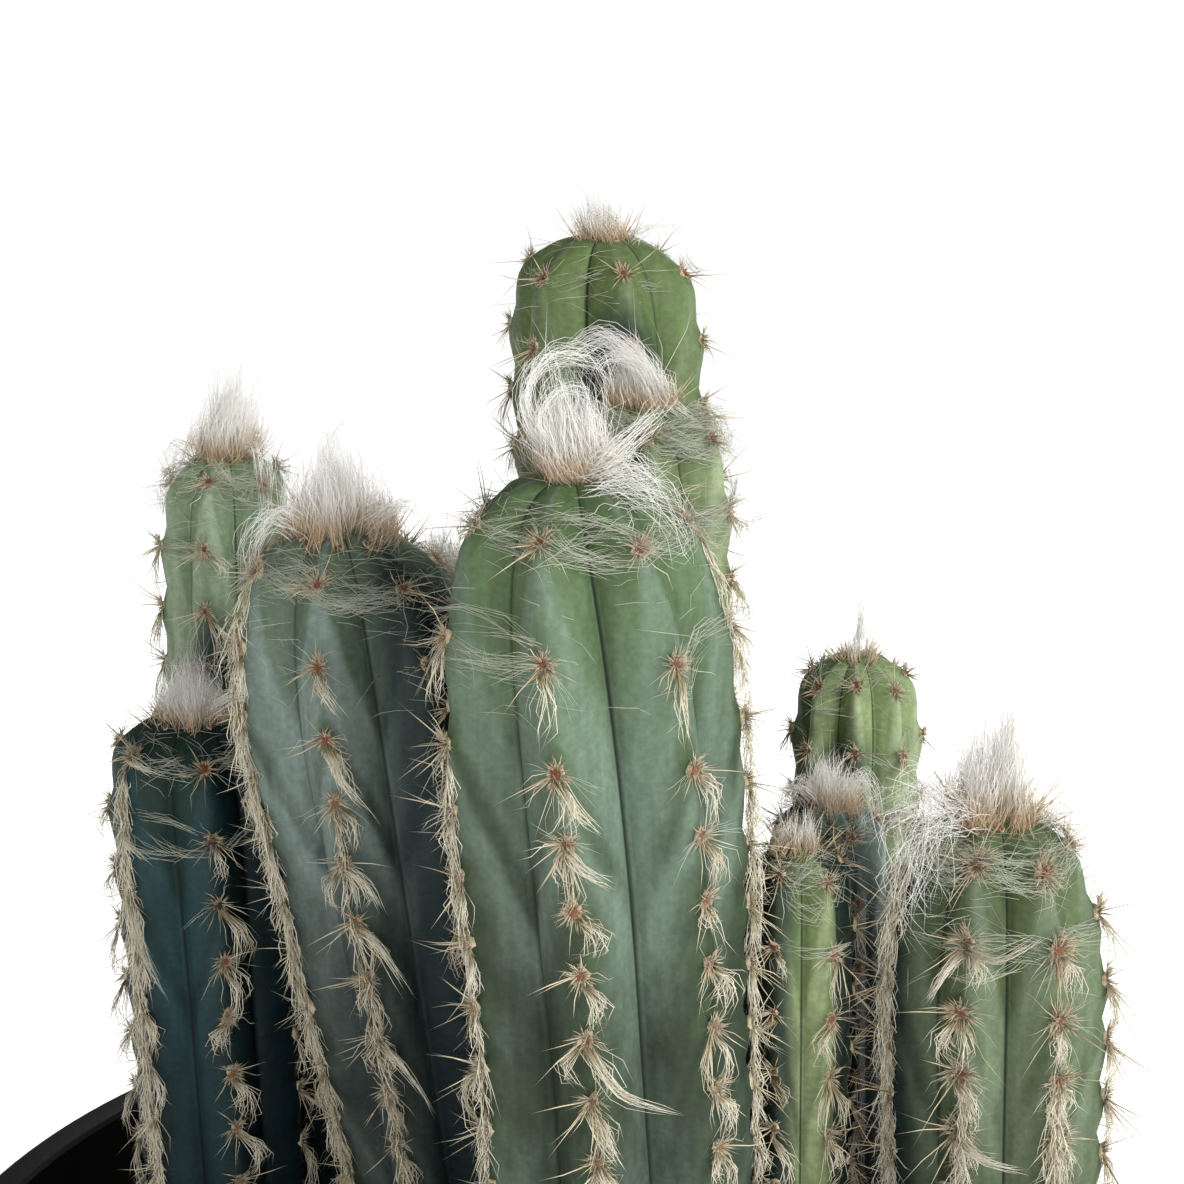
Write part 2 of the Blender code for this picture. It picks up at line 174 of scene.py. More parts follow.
COLUMNS = (
    Column("tall_back", (18, 39.5), (12, 43.5, 433.5), 18.3, 6, 18, 4, 0.85, 1.35, GREEN,
           (11, 560, 0.24), lean=(-0.3, 0), fleece=0.5, web=0.5, tan=0.35),
    Column("centre_front", (17.9, -39.5), (7.3, -49, 411.5), 24.3, 7, -4.4, 16.6, 0.92, 2.3, SAGE,
           (20, 1300, 0.14), lean=(-0.1, 0), fleece=1.1, woolly_ribs={2: 1.7, 6: 0.9}, web=1.9,
           spine=1.1, puff=1.15, stretch=0.5),
    Column("centre_back", (23, 3.5), (19, 5.5, 411), 15.5, 6, 8, 6, 0.85, 1.5, LEAF,
           (14, 800, 0.3), lean=(-0.35, -0.1), fleece=1.7, web=4.5, tan=0.1),
    Column("left_front", (-10, -9.5), (-31.8, -16.5, 394.5), 22, 7, -15, -5, 0.68, 2.0, BLUE_GREY,
           (18, 1500, 0.38), lean=(-0.05, 0), fleece=1.1, woolly_ribs={6: 2.4, 0: 0.8}, tan=0.4,
           web=2.2, puff=1.15, shade=(0.26, 0.1)),
    Column("left_side", (-59, 5.5), (-62.7, 9.5, 352), 16, 6, -38, 4, 0.95, 1.25, DEEP_TEAL,
           (15, 900, 0.38), lean=(0.02, 0), fleece=1.2, woolly_ribs={0: 2.2}, shade=(0.5, 0.12)),
    Column("left_back", (-63, 42.5), (-59.5, 45, 392), 12.5, 6, -12, 0, 0.85, 1.5, PALE,
           (19, 1000, 0.4), lean=(0.16, 0), fleece=1.1, web=1.6, tan=0.35),
    Column("right_front", (83.8, -23.5), (76.7, -28.5, 349), 18.8, 7, -28, -6, 0.92, 2.4, OLIVE,
           (22, 1150, 0.34), lean=(0.08, 0), fleece=1.5, woolly_ribs={6: 2.6, 0: 1.3, 1: 1.5},
           tan=0.3, web=2.8, spine=1.8, puff=1.6),
    Column("right_back", (63, 39.5), (61.7, 43.5, 352), 12.4, 8, -8, 0, 0.85, 1.6, LEAF,
           (7, 260, 0.3), lean=(-0.05, 0), fleece=0.4, web=0.6, tan=0.4, spine=0.8),
    Column("right_inner", (58, 7.5), (53, 7.5, 336.5), 10.5, 6, -38, 0, 0.85, 1.5, GREY,
           (14, 650, 0.45), lean=(-0.05, 0), fleece=0.5, web=0.7, tan=0.1, shade=(0.09, 0.03)),
    Column("right_small", (47, -25.5), (44.4, -26.5, 342), 9.6, 6, -28, 0, 0.85, 1.6, LIME,
           (9, 280, 0.4), lean=(0.1, 0), fleece=1.2, woolly_ribs={5: 2.2}, web=0.7, tan=0.45),
    Column("left_inner", (-17.5, 19.5), (-17.5, 23.5, 374), 12, 6, 0, 0, 0.85, 1.5, DEEP_TEAL,
           (14, 520, 0.4), lean=(0, -0.1), fleece=0.9),
    Column("left_hidden", (-40.5, 26), (-41.5, 29.5, 344), 10, 6, 15, 0, 0.85, 1.5, DEEP_TEAL,
           (11, 300, 0.4), fleece=0.9, web=0.6, tan=0.5),
)


# Small tools


def linear(code):
    """A colour written as sRGB hex, as the linear RGBA that shaders take."""
    parts = [int(code[i : i + 2], 16) / 255 for i in (0, 2, 4)]
    return (*[c / 12.92 if c <= 0.04045 else ((c + 0.055) / 1.055) ** 2.4 for c in parts], 1.0)


def hand_in(obj, slot, *nodes):
    """Makes a finished piece move with the pot and stand for the nodes that it replaces."""
    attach(obj, "root")
    if nodes:
        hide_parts(*nodes)


def add_piece(name, parts, material, slot, *nodes, smooth=True):
    """Joins parts, each of points, triangles and point attributes, into one finished piece."""
    starts = np.cumsum([0] + [len(part[0]) for part in parts])
    points = np.concatenate([part[0] for part in parts]).astype(np.float32)
    triangles = np.concatenate([part[1] + start for part, start in zip(parts, starts)])
    mesh = bpy.data.meshes.new(name)
    mesh.vertices.add(len(points))
    mesh.vertices.foreach_set("co", points.ravel())
    mesh.loops.add(3 * len(triangles))
    mesh.loops.foreach_set("vertex_index", triangles.astype(np.int32).ravel())
    mesh.polygons.add(len(triangles))
    mesh.polygons.foreach_set("loop_start", np.arange(0, 3 * len(triangles), 3, dtype=np.int32))
    mesh.polygons.foreach_set("use_smooth", np.full(len(triangles), smooth))
    for key in parts[0][2]:
        values = np.concatenate([part[2][key] for part in parts]).astype(np.float32)
        mesh.attributes.new(key, "FLOAT", "POINT").data.foreach_set("value", values)
    mesh.update(calc_edges=True)
    mesh.validate()
    mesh.materials.append(material)
    obj = bpy.data.objects.new(name, mesh)
    bpy.context.scene.collection.objects.link(obj)
    hand_in(obj, slot, *nodes)


def select_none():
    if bpy.context.mode != "OBJECT":
        bpy.ops.object.mode_set(mode="OBJECT")
    bpy.ops.object.select_all(action="DESELECT")


def take_shape(obj):
    """Points and faces of a primitive as arrays. The primitive is removed."""
    points = np.array([vertex.co for vertex in obj.data.vertices])
    faces = np.array([polygon.vertices for polygon in obj.data.polygons])
    bpy.data.objects.remove(obj)
    return points, faces


def unit(vectors):
    """The same directions at length 1."""
    return vectors / np.maximum(np.linalg.norm(vectors, axis=-1, keepdims=True), 1e-12)


def shares(steps):
    """How far along a path each of its steps is, for arrays of paths, steps and axes."""
    return np.linspace(0, 1, steps)[None, :, None]


def sample(line, place):
    """Points of a line at places between its steps."""
    return np.stack([np.interp(place, np.arange(len(line)), line[:, k]) for k in range(3)], -1)


def smooth_path(points, steps):
    """A path of evenly spaced steps through a few points, rounded at the bends."""
    points = np.array(points, dtype=float)
    ends = np.vstack((2 * points[0] - points[1], points, 2 * points[-1] - points[-2]))
    place = np.linspace(0, len(points) - 1, steps)
    first = np.minimum(place.astype(int), len(points) - 2)
    t = (place - first)[:, None]
    a, b, c, d = (ends[first + k] for k in range(4))
    return 0.5 * (2 * b + (c - a) * t + (2 * a - 5 * b + 4 * c - d) * t**2
                  + (3 * b - a - 3 * c + d) * t**3)


# Hairs

# Points along a usual hair, one of a long strand and one of a long lock
HAIR_STEPS, SWEEP_STEPS, LOCK_STEPS = 4, 8, 7
# Kinds of wool: thickness over the settings' hair, its profile from root to tip, the distance kept
# from the skin, how far ages differ from hair to hair (None where all are as likely), the oldest age
KINDS = {
    "plume": (0.37, (1.2, 1.05, 0.75, 0.2), 0, 0.06, 0.3),
    "sweep": (0.34, (*np.linspace(1.1, 0.7, SWEEP_STEPS - 1), 0.2), 0.3 * MM, 0.06, 0.3),
    "bridge": (0.3, (1, 1, 0.9, 0.3), 0.3 * MM, None, 0.3),
    "loose": (0.31, (1, 1, 0.75, 0.3), 0.3 * MM, None, 0.3),
    "hanging": (0.5, (1.0, 1.2, 0.85, 0.2), 0.2 * MM, 0.16, 0.95),
    "single": (0.42, (1.1, 1.0, 0.75, 0.25), 0.2 * MM, 0.15, 0.8),
    "rope": (0.56, (0.9, 1.2, 0.9, 0.25), 0.2 * MM, 0.15, 0.8),
    "long_lock": (0.45, (*np.linspace(1.2, 0.8, LOCK_STEPS - 1), 0.3), 0.35 * MM, 0.1, 0.5),
}


def hairs(paths, radii, age):
    """Closed three-sided tapered tubes along paths, with how far along and how old each point is."""
    count, steps = paths.shape[:2]
    tangents = unit(np.gradient(paths, axis=1))
    main = unit(paths[:, -1] - paths[:, 0] + 1e-9)
    side = np.eye(3)[np.argmin(np.abs(main), axis=1)][:, None]
    side = unit(side - (side * tangents).sum(-1, keepdims=True) * tangents)
    other = np.cross(tangents, side)
    ways = [math.cos(TAU * k / 3) * side + math.sin(TAU * k / 3) * other for k in range(3)]
    rings = np.stack([paths + way * radii[..., None] for way in ways], axis=2)
    points = np.concatenate((rings[:, :-1].reshape(count, -1, 3), paths[:, -1:]), axis=1)
    faces = [(2, 1, 0)]
    for first in range(0, 3 * (steps - 2), 3):
        for a, b in ((first, first + 1), (first + 1, first + 2), (first + 2, first)):
            faces += [(a, b, b + 3), (a, b + 3, a + 3)]
    last, end = 3 * (steps - 2), 3 * (steps - 1)
    faces += [(last, last + 1, end), (last + 1, last + 2, end), (last + 2, last, end)]
    triangles = np.array(faces)[None] + np.arange(count)[:, None, None] * (end + 1)
    along = np.tile(np.append(np.repeat(np.arange(steps - 1) / (steps - 1), 3), 1.0), count)
    return (points.reshape(-1, 3), triangles.reshape(-1, 3),
            {"along": along, "age": np.repeat(age, end + 1)})


def taper(rng, count, radius, profile):
    """Radii of a number of hairs, each a little thicker or thinner than the typical one."""
    thinnest, thickest = 0.75, 1.3
    return radius * rng.uniform(thinnest, thickest, (count, 1)) * np.array(profile)[None]


def grow(rng, kind, paths, settings, age=0.0):
    """Hairs of wool of a kind, round a typical age, or evenly of all ages up to the oldest."""
    thickness, profile, distance, spread, oldest = KINDS[kind]
    if distance:
        paths = keep_outside(paths, distance)
    count = len(paths)
    radii = taper(rng, count, thickness * settings.hair, profile)
    if spread is None:
        return hairs(paths, radii, rng.uniform(0, oldest, count))
    return hairs(paths, radii, np.clip(age + rng.normal(0, spread, count), 0, oldest))


def round_areole(turn, side, up, tall=1.0, drop=0.0):
    """Directions across a crest at a turn from its side, drawn out along it and turned down."""
    return np.cos(turn)[:, None] * side + (tall * np.sin(turn) - drop)[:, None] * up


def waves(rng, count, steps, cycles):
    """Sideways waves for hairs, in three directions, that start from nothing at the root."""
    phase = rng.uniform(0, TAU, (count, 1, 3))
    turns = TAU * rng.uniform(0.5 * cycles, 1.3 * cycles, (count, 1, 1))
    return (np.sin(phase + turns * shares(steps)) - np.sin(phase)) * shares(steps)


def curly(rng, start, way, length, droop, curl):
    """Paths of hairs: each leaves along its way, bends over and curls more towards its tip."""
    count, share = len(start), shares(HAIR_STEPS)
    aside = unit(np.cross(way, rng.normal(size=(count, 3))))
    phase = rng.uniform(0, TAU, (count, 1, 1))
    turns = rng.uniform(0.5, 1.6, (count, 1, 1)) * TAU
    bends = (aside[:, None] * (np.sin(phase + turns * share) - np.sin(phase))
             + np.cross(way, aside)[:, None] * (np.cos(phase + turns * share) - np.cos(phase)))
    fall = np.array((0, 0, -1.0)) * droop[:, None, None] * share**2
    return start[:, None] + length[:, None, None] * (
        way[:, None] * share + fall + curl[:, None, None] * bends * share)


def areoles(column):
    """Height, rib and row of each areole, from the crown down each crest."""
    spacing = bpy.context.scene.cactus_skin.areole_spacing
    found = []
    for rib in range(column.ribs):
        depth = FIRST_AREOLE_SHARE * column.radius + (rib % 2) * AREOLE_STAGGER * spacing
        row = 0
        while column.length - depth > LOWEST_AREOLE:
            found.append((column.length - depth, rib, row))
            depth += spacing * (1 + column.stretch * (row < 2))
            row += 1
    return np.array(found, dtype=float).T


def crest_frames(column, height, rib):
    """Points on the crests with their outward, sideways and upward directions."""
    angle = column.crest_angle(rib, height)
    below = height - 0.8 * MM
    low = column.point(angle, below, column.crest_radius(below))
    high = column.point(angle, height, column.crest_radius(height))
    up = unit(high - low)
    side = unit(np.cross(up, outward(angle)))
    return high, unit(np.cross(side, up)), side, up


def each_column(seed):
    """Each column with its own random numbers, and its areoles' frames, ribs and rows."""
    for number, column in enumerate(COLUMNS):
        height, rib, row = areoles(column)
        rng = np.random.default_rng(seed + number)
        yield column, rng, crest_frames(column, height, rib), rib, row


def take(values, index):
    """Each of several arrays at an index, such as the frames that a set of hairs grow from."""
    return (array[index] for array in values)


def openness(column, points, out, reach):
    """1 where nothing stands within reach of the skin, down to 0 in narrow gaps."""
    probe = points + reach * out
    height = probe[:, 2] - SOIL_TOP
    clear = np.ones(len(points))
    for other in COLUMNS:
        if other is not column:
            centre = other.axis(np.clip(height, 0, other.length))
            gap = np.linalg.norm((probe - centre)[:, :2], axis=1) - other.radius
            gap += np.clip(height - other.length, 0, None)
            clear = np.minimum(clear, np.clip(gap / reach, 0, 1))
    return clear


def clearness(column, root, out):
    """How much wool an areole keeps: less between columns that stand close, less at the back."""
    in_gaps, gap, at_sides, to_front = 0.35, 9 * MM, 0.75, 0.35
    kept = in_gaps + (1 - in_gaps) * openness(column, root, out, gap)
    return kept * (at_sides - to_front * out[:, 1])


def keep_outside(paths, clearance):
    """Pushes the points of hairs out of every column, so that they lie over the skin."""
    flat = paths.reshape(-1, 3)
    for column in COLUMNS:
        height = flat[:, 2] - SOIL_TOP
        near = (height > 0) & (height < column.length)
        here, height = flat[near], height[near]
        centre = column.axis(height)
        across = here - centre
        across[:, 2] = 0
        distance = np.linalg.norm(across, axis=1)
        angle = np.arctan2(across[:, 0], -across[:, 1])
        wanted = column.skin_radius(angle, height) + clearance
        short = (distance < wanted) & (distance > 1e-6)
        here[short] = centre[short] + across[short] * (wanted[short] / distance[short])[:, None]
        flat[near] = here
    return flat.reshape(paths.shape)


# Settings that a user would change

AS_LENGTH = {"subtype": "DISTANCE", "unit": "LENGTH"}
AS_COLOUR = {"subtype": "COLOR", "size": 3, "min": 0, "max": 1}


class PotSettings(bpy.types.PropertyGroup):
    sides: bpy.props.IntProperty(name="Sides", description="Steps round the pot", default=160, min=24)
    plastic: bpy.props.FloatVectorProperty(
        name="Plastic", description="Colour of the pot", default=linear("0D0D0E")[:3], **AS_COLOUR)


class SoilSettings(bpy.types.PropertyGroup):
    crumbs: bpy.props.IntProperty(
        name="Crumbs", description="Pieces of bark and grit on the soil", default=560, min=0)
    crumb_size: bpy.props.FloatProperty(
        name="Crumb size", description="Length of a typical piece of bark", default=5 * MM, **AS_LENGTH)


class SkinSettings(bpy.types.PropertyGroup):
    ring_spacing: bpy.props.FloatProperty(
        name="Ring spacing", description="Height between rings of the skin's mesh",
        default=3.0 * MM, **AS_LENGTH)
    bulge: bpy.props.FloatProperty(
        name="Areole bulge", description="How far a crest swells under each areole",
        default=0.7 * MM, **AS_LENGTH)
    areole_spacing: bpy.props.FloatProperty(
        name="Areole spacing", description="Distance between the areoles of one crest",
        default=11 * MM, **AS_LENGTH)


class SpineSettings(bpy.types.PropertyGroup):
    outer: bpy.props.IntProperty(
        name="Outer spines", description="Spines that lie round each areole", default=8, min=3)
    central: bpy.props.IntProperty(
        name="Central spines", description="Long spines of each areole", default=4, min=1)
    length: bpy.props.FloatProperty(
        name="Length", description="Length of a typical outer spine", default=4.8 * MM, **AS_LENGTH)
    thickness: bpy.props.FloatProperty(
        name="Thickness", description="Thickness of a spine at its root",
        default=0.28 * MM, **AS_LENGTH)


class WoolSettings(bpy.types.PropertyGroup):
    hair: bpy.props.FloatProperty(
        name="Hair", description="Thickness of one drawn lock of hairs",
        default=0.13 * MM, **AS_LENGTH)
    locks: bpy.props.FloatProperty(
        name="Locks", description="Locks that hang from a typical areole", default=1.6, min=0)
    lock_hairs: bpy.props.IntProperty(
        name="Hairs of a lock", description="Hairs drawn in each hanging lock", default=13, min=1)
    loose_hairs: bpy.props.FloatProperty(
        name="Loose hairs", description="Single hairs of a typical areole", default=3, min=0)
    web_hairs: bpy.props.IntProperty(
        name="Web hairs", description="Hairs spun from rib to rib round a typical crown",
        default=190, min=0)


class StageSettings(bpy.types.PropertyGroup):
    floor: bpy.props.FloatVectorProperty(
        name="Floor", description="Colour of the floor", default=linear("F4F4F2")[:3], **AS_COLOUR)
    key_power: bpy.props.FloatProperty(
        name="Main light", description="Power of the soft light at the right", default=21,
        subtype="POWER", unit="POWER")
    sky: bpy.props.FloatProperty(
        name="Room light", description="Strength of the even light from all sides", default=0.15)
    glow: bpy.props.FloatProperty(
        name="Floor light", description="Light that comes through the floor's white board",
        default=0.88)


SETTINGS = {
    "cactus_pot": PotSettings,
    "cactus_soil": SoilSettings,
    "cactus_skin": SkinSettings,
    "cactus_spine": SpineSettings,
    "cactus_wool": WoolSettings,
    "cactus_stage": StageSettings,
}


# Materials. A Map Range takes a value, the range it lies in and the range it is given.

SMOOTH = {"interpolation_type": "SMOOTHSTEP"}
COLOUR = {"data_type": "RGBA"}
TIMES = {"operation": "MULTIPLY"}
TIMES_PLUS = {"operation": "MULTIPLY_ADD"}
SCALED = {"operation": "SCALE"}


def set_inputs(node, *inputs, **named):
    """Sets a node's inputs, in their order or by name, to values or to nodes that feed them."""
    usable = [socket for socket in node.inputs if socket.enabled]
    pairs = [*zip(usable, inputs)]
    pairs += [(node.inputs[key.replace("_", " ")], value) for key, value in named.items()]
    for socket, value in pairs:
        if isinstance(value, bpy.types.Node):
            value = next(output for output in value.outputs if output.enabled)
        if isinstance(value, bpy.types.NodeSocket):
            node.id_data.links.new(value, socket)
        else:
            socket.default_value = value


def add_node(tree, kind, settings=None, *inputs, **named):
    """Adds a shader node with its settings and inputs."""
    node = tree.nodes.new("ShaderNode" + kind)
    for key, value in (settings or {}).items():
        setattr(node, key, value)
    set_inputs(node, *inputs, **named)
    return node


def new_material(name, *attributes):
    """A node material, its shader, how nodes are added to it, and mesh attributes to link."""
    material = bpy.data.materials.new(name)
    material.use_nodes = True
    add = partial(add_node, material.node_tree)
    return (material, material.node_tree.nodes["Principled BSDF"], add,
            *[add("Attribute", {"attribute_name": key}).outputs["Fac"] for key in attributes])


def moulded_polypropylene(colour):
    """Injection-moulded polypropylene: black, slightly glossy, with a fine moulded grain."""
    material, shader, add = new_material("moulded_polypropylene")
    place = add("TexCoord").outputs["Object"]
    # Grain of about 1.5 mm, coarser than the real 0.2 mm so that it shows
    grain = add("TexNoise", Vector=place, Scale=650, Detail=3)
    dust = add("TexNoise", Vector=place, Scale=22, Detail=5)
    dusty = add("MapRange", None, dust, 0.45, 0.8, 0, 0.07)
    set_inputs(
        shader, Specular_IOR_Level=0.3,
        Base_Color=add("Mix", COLOUR, dusty, (*colour, 1), linear("5A554E")),
        Roughness=add("MapRange", None, dust, 0, 1, 0.34, 0.52),
        Normal=add("Bump", Height=grain, Strength=0.25, Distance=0.2 * MM))
    return material


def potting_mix():
    """Damp peat and bark: near-black brown, crumbly and dull."""
    material, shader, add = new_material("peat_and_bark_mix")
    place = add("TexCoord").outputs["Object"]
    clod = add("TexNoise", Vector=place, Scale=160, Detail=6)
    grit = add("TexNoise", Vector=place, Scale=900, Detail=2)
    bump = add("Bump", Height=clod, Strength=0.8, Distance=1.5 * MM)
    set_inputs(
        shader, Roughness=0.92,
        Base_Color=add("Mix", COLOUR, clod, linear("1B130D"), linear("4A3727")),
        Normal=add("Bump", Height=grit, Strength=0.6, Distance=0.4 * MM, Normal=bump))
    return material


def crumb_finish():
    """Chips of composted bark with a few pale grains of grit, by each crumb's own shade."""
    material, shader, add, shade = new_material("composted_bark", "shade")
    place = add("TexCoord").outputs["Object"]
    grain = add("TexNoise", Vector=place, Scale=500, Detail=4).outputs["Color"]
    ramp = add("ValToRGB", Fac=shade)
    stops = ramp.color_ramp.elements
    stops[0].color = linear("1E150F")
    stops[1].position, stops[1].color = 0.9, linear("6B4D33")
    stops.new(0.96).color = linear("B9B0A0")
    grained = add("Mix", {**COLOUR, "blend_type": "MULTIPLY"}, 0.6, ramp, grain)
    set_inputs(shader, Base_Color=grained, Roughness=0.9)
    return material


def waxy_skin(name, colours, shade):
    """Living skin under a thin waxy bloom: matt, blue-grey on the flanks, with painted shade in the
    grooves, in narrow gaps and lower down.
    """
    flank, bloom, groove, young = (linear(code) for code in colours)
    material, shader, add, across, depth, near, free, mark, low = new_material(
        "waxy_skin_" + name, "across", "depth", "near_areole", "free", "chevron", "height")
    place = add("TexCoord").outputs["Object"]
    # Patches of bloom 8 to 20 mm long, drawn out along the column
    tall = add("Mapping", Vector=place, Scale=(1, 1, 0.35))
    patch = add("TexNoise", Vector=tall, Scale=95, Detail=6, Roughness=0.62)
    waxed = add("MapRange", SMOOTH, patch, 0.36, 0.68)
    on_flank = add("MapRange", SMOOTH, across, 0.05, 0.55, 0.35)
    bloomed = add("Math", TIMES, waxed, on_flank)
    skin = add("Mix", COLOUR, bloomed, flank, bloom)
    # Young skin near the growing point and round the upper areoles
    at_top = add("MapRange", SMOOTH, depth, 0.005, 0.055, 0.75, 0)
    ringed = add("Math", TIMES, near, 0.55)
    skin = add("Mix", COLOUR, add("Math", {"operation": "MAXIMUM"}, at_top, ringed), skin, young)
    # Broad darker patches about 30 mm across, and painted shade that darkens the skin with depth below
    # the tip
    broad = add("TexNoise", Vector=tall, Scale=32, Detail=3)
    dimmed = add("MapRange", None, broad, 0.32, 0.68, 0.62, 1.18)
    depth_shade = add("MapRange", SMOOTH, depth, 0.01, shade[1], 1, shade[0])
    skin = add("VectorMath", SCALED, skin, add("Math", TIMES, dimmed, depth_shade))
    # Painted shade: in narrow gaps between columns the skin is mixed towards a near-black teal and
    # keeps no bloom
    hidden = add("MapRange", SMOOTH, free, 0, 1, 0.08, 1)
    skin = add("Mix", COLOUR, hidden, linear("0B2024"), skin)
    # Pale wedges of bloom that slant down from the crests
    wander = add("TexNoise", Vector=place, Scale=60, Detail=3)
    wedge = add("TexNoise", {"noise_dimensions": "1D"}, W=add("Math", TIMES_PLUS, wander, 0.8, mark),
                Scale=0.5, Detail=1)
    lined = add("MapRange", SMOOTH, wedge, 0.45, 0.7, 0, 0.8)
    # The pale wedges fade in the painted shade of the gaps and of the lower skin
    lined = add("Math", TIMES, add("Math", TIMES, lined, hidden), depth_shade)
    skin = add("Mix", COLOUR, lined, skin, bloom)
    # Streaks 1 mm wide and 15 mm long, down the column, and fine flecks about 1 mm across
    drawn = add("Mapping", Vector=place, Scale=(1, 1, 0.07))
    streak = add("TexNoise", Vector=drawn, Scale=700, Detail=3)
    skin = add("VectorMath", SCALED, skin, add("MapRange", None, streak, 0.3, 0.7, 0.88, 1.1))
    fleck = add("TexNoise", Vector=place, Scale=900, Detail=3)
    skin = add("VectorMath", SCALED, skin, add("MapRange", None, fleck, 0.35, 0.7, 0.84, 1.08))
    # Painted shade: the bottom of each groove is mixed towards the near-black groove colour
    groove_shade = add("MapRange", SMOOTH, across, 0.92, 1, 0, 0.85)
    skin = add("Mix", COLOUR, groove_shade, skin, groove)
    # Old skin turns corky in the lowest 20 mm
    cork = add("TexNoise", Vector=place, Scale=180, Detail=5)
    old = add("MapRange", SMOOTH, low, 0, 0.03, 1.3, 0)
    corky = add("Math", {**TIMES, "use_clamp": True}, old, cork)
    skin = add("Mix", COLOUR, corky, skin, linear("8A7A5E"))
    # Fine wrinkles 1 to 2 mm apart, lying across the column
    flat = add("Mapping", Vector=place, Scale=(1, 1, 2.6))
    wrinkle = add("TexNoise", Vector=flat, Scale=260, Detail=5)
    set_inputs(
        shader, Base_Color=skin, Specular_IOR_Level=0.22,
        Roughness=add("MapRange", None, bloomed, 0, 1, 0.52, 0.7),
        Normal=add("Bump", Height=wrinkle, Strength=0.45, Distance=0.5 * MM))
    return material


def spine_horn():
    """Horny spines: orange brown at the root, straw in the middle, dark at the point."""
    material, shader, add, along, age = new_material("horny_spine", "along", "age")
    young = add("ValToRGB", Fac=along)
    stops = young.color_ramp.elements
    stops[0].color = linear("A6825A")
    stops[1].color = linear("7B6750")
    for position, code in ((0.2, "C4A984"), (0.5, "CFBE9C"), (0.8, "B19D7D")):
        stops.new(position).color = linear(code)
    set_inputs(shader, Base_Color=add("Mix", COLOUR, age, young, linear("DCCFAF")), Roughness=0.45)
    return material


def areole_felt():
    """Felted areole: a rust-brown middle in cream fuzz, both paler and greyer when old."""
    material, shader, add, age, inner = new_material("areole_felt", "age", "inner")
    place = add("TexCoord").outputs["Object"]
    middle = add("Mix", COLOUR, age, linear("713A1B"), linear("86603A"))
    rim = add("Mix", COLOUR, age, linear("CDB997"), linear("CDC2A4"))
    fuzz = add("TexNoise", Vector=place, Scale=1500, Detail=3)
    # The edge between the two is ragged, about 0.5 mm deep
    ragged = add("Math", TIMES_PLUS, fuzz, 0.9, inner)
    felt = add("Mix", COLOUR, add("MapRange", SMOOTH, ragged, 0.62, 1.08), rim, middle)
    shade = add("MapRange", None, fuzz, 0.3, 0.7, 0.65, 1.2)
    set_inputs(
        shader, Base_Color=add("VectorMath", SCALED, felt, shade), Roughness=0.95,
        Sheen_Weight=0.3, Normal=add("Bump", Height=fuzz, Strength=0.9, Distance=0.5 * MM))
    return material


def plant_wool(name, white, tan, rooted, scatter_glow):
    """Fine plant hair: soft and dull, white at the tips and tan where it is old or rooted.

    rooted is the share of each hair that is stained; the last is a painted glow in the hairs' own white
    that stands in for light scattered through the wool.
    """
    material, shader, add, age, along = new_material(name, "age", "along")
    root = add("MapRange", SMOOTH, along, 0, 0.1 + rooted, 0.9, 0)
    tanned = add("Math", {"operation": "ADD", "use_clamp": True}, root, age)
    # Painted light: the hairs glow faintly in their own white, standing in for light scattered through
    # the wool
    set_inputs(
        shader, Base_Color=add("Mix", COLOUR, tanned, linear(white), linear(tan)), Roughness=0.85,
        Specular_IOR_Level=0.2, Emission_Color=linear(white), Emission_Strength=scatter_glow)
    return material


def floor_finish(colour, glow):
    """Matt white acrylic board, lit from below as on a light table."""
    material, shader, add = new_material("lit_white_acrylic")
    place = add("TexCoord").outputs["Object"]
    tooth = add("TexNoise", Vector=place, Scale=400, Detail=2)
    set_inputs(
        shader, Base_Color=(*colour, 1), Roughness=0.8, Emission_Color=(1, 1, 1, 1),
        Emission_Strength=glow, Normal=add("Bump", Height=tooth, Strength=0.05, Distance=0.2 * MM))
    return material


# Pieces


def pull_ring(low, high):
    """Extrudes the selected ring from one (radius, height) to the next, in edit mode."""
    bpy.ops.mesh.extrude_edges_move(TRANSFORM_OT_translate={"value": (0, 0, high[1] - low[1])})
    share = high[0] / low[0]
    bpy.ops.transform.resize(value=(share, share, 1), center_override=(0, 0, high[1]))


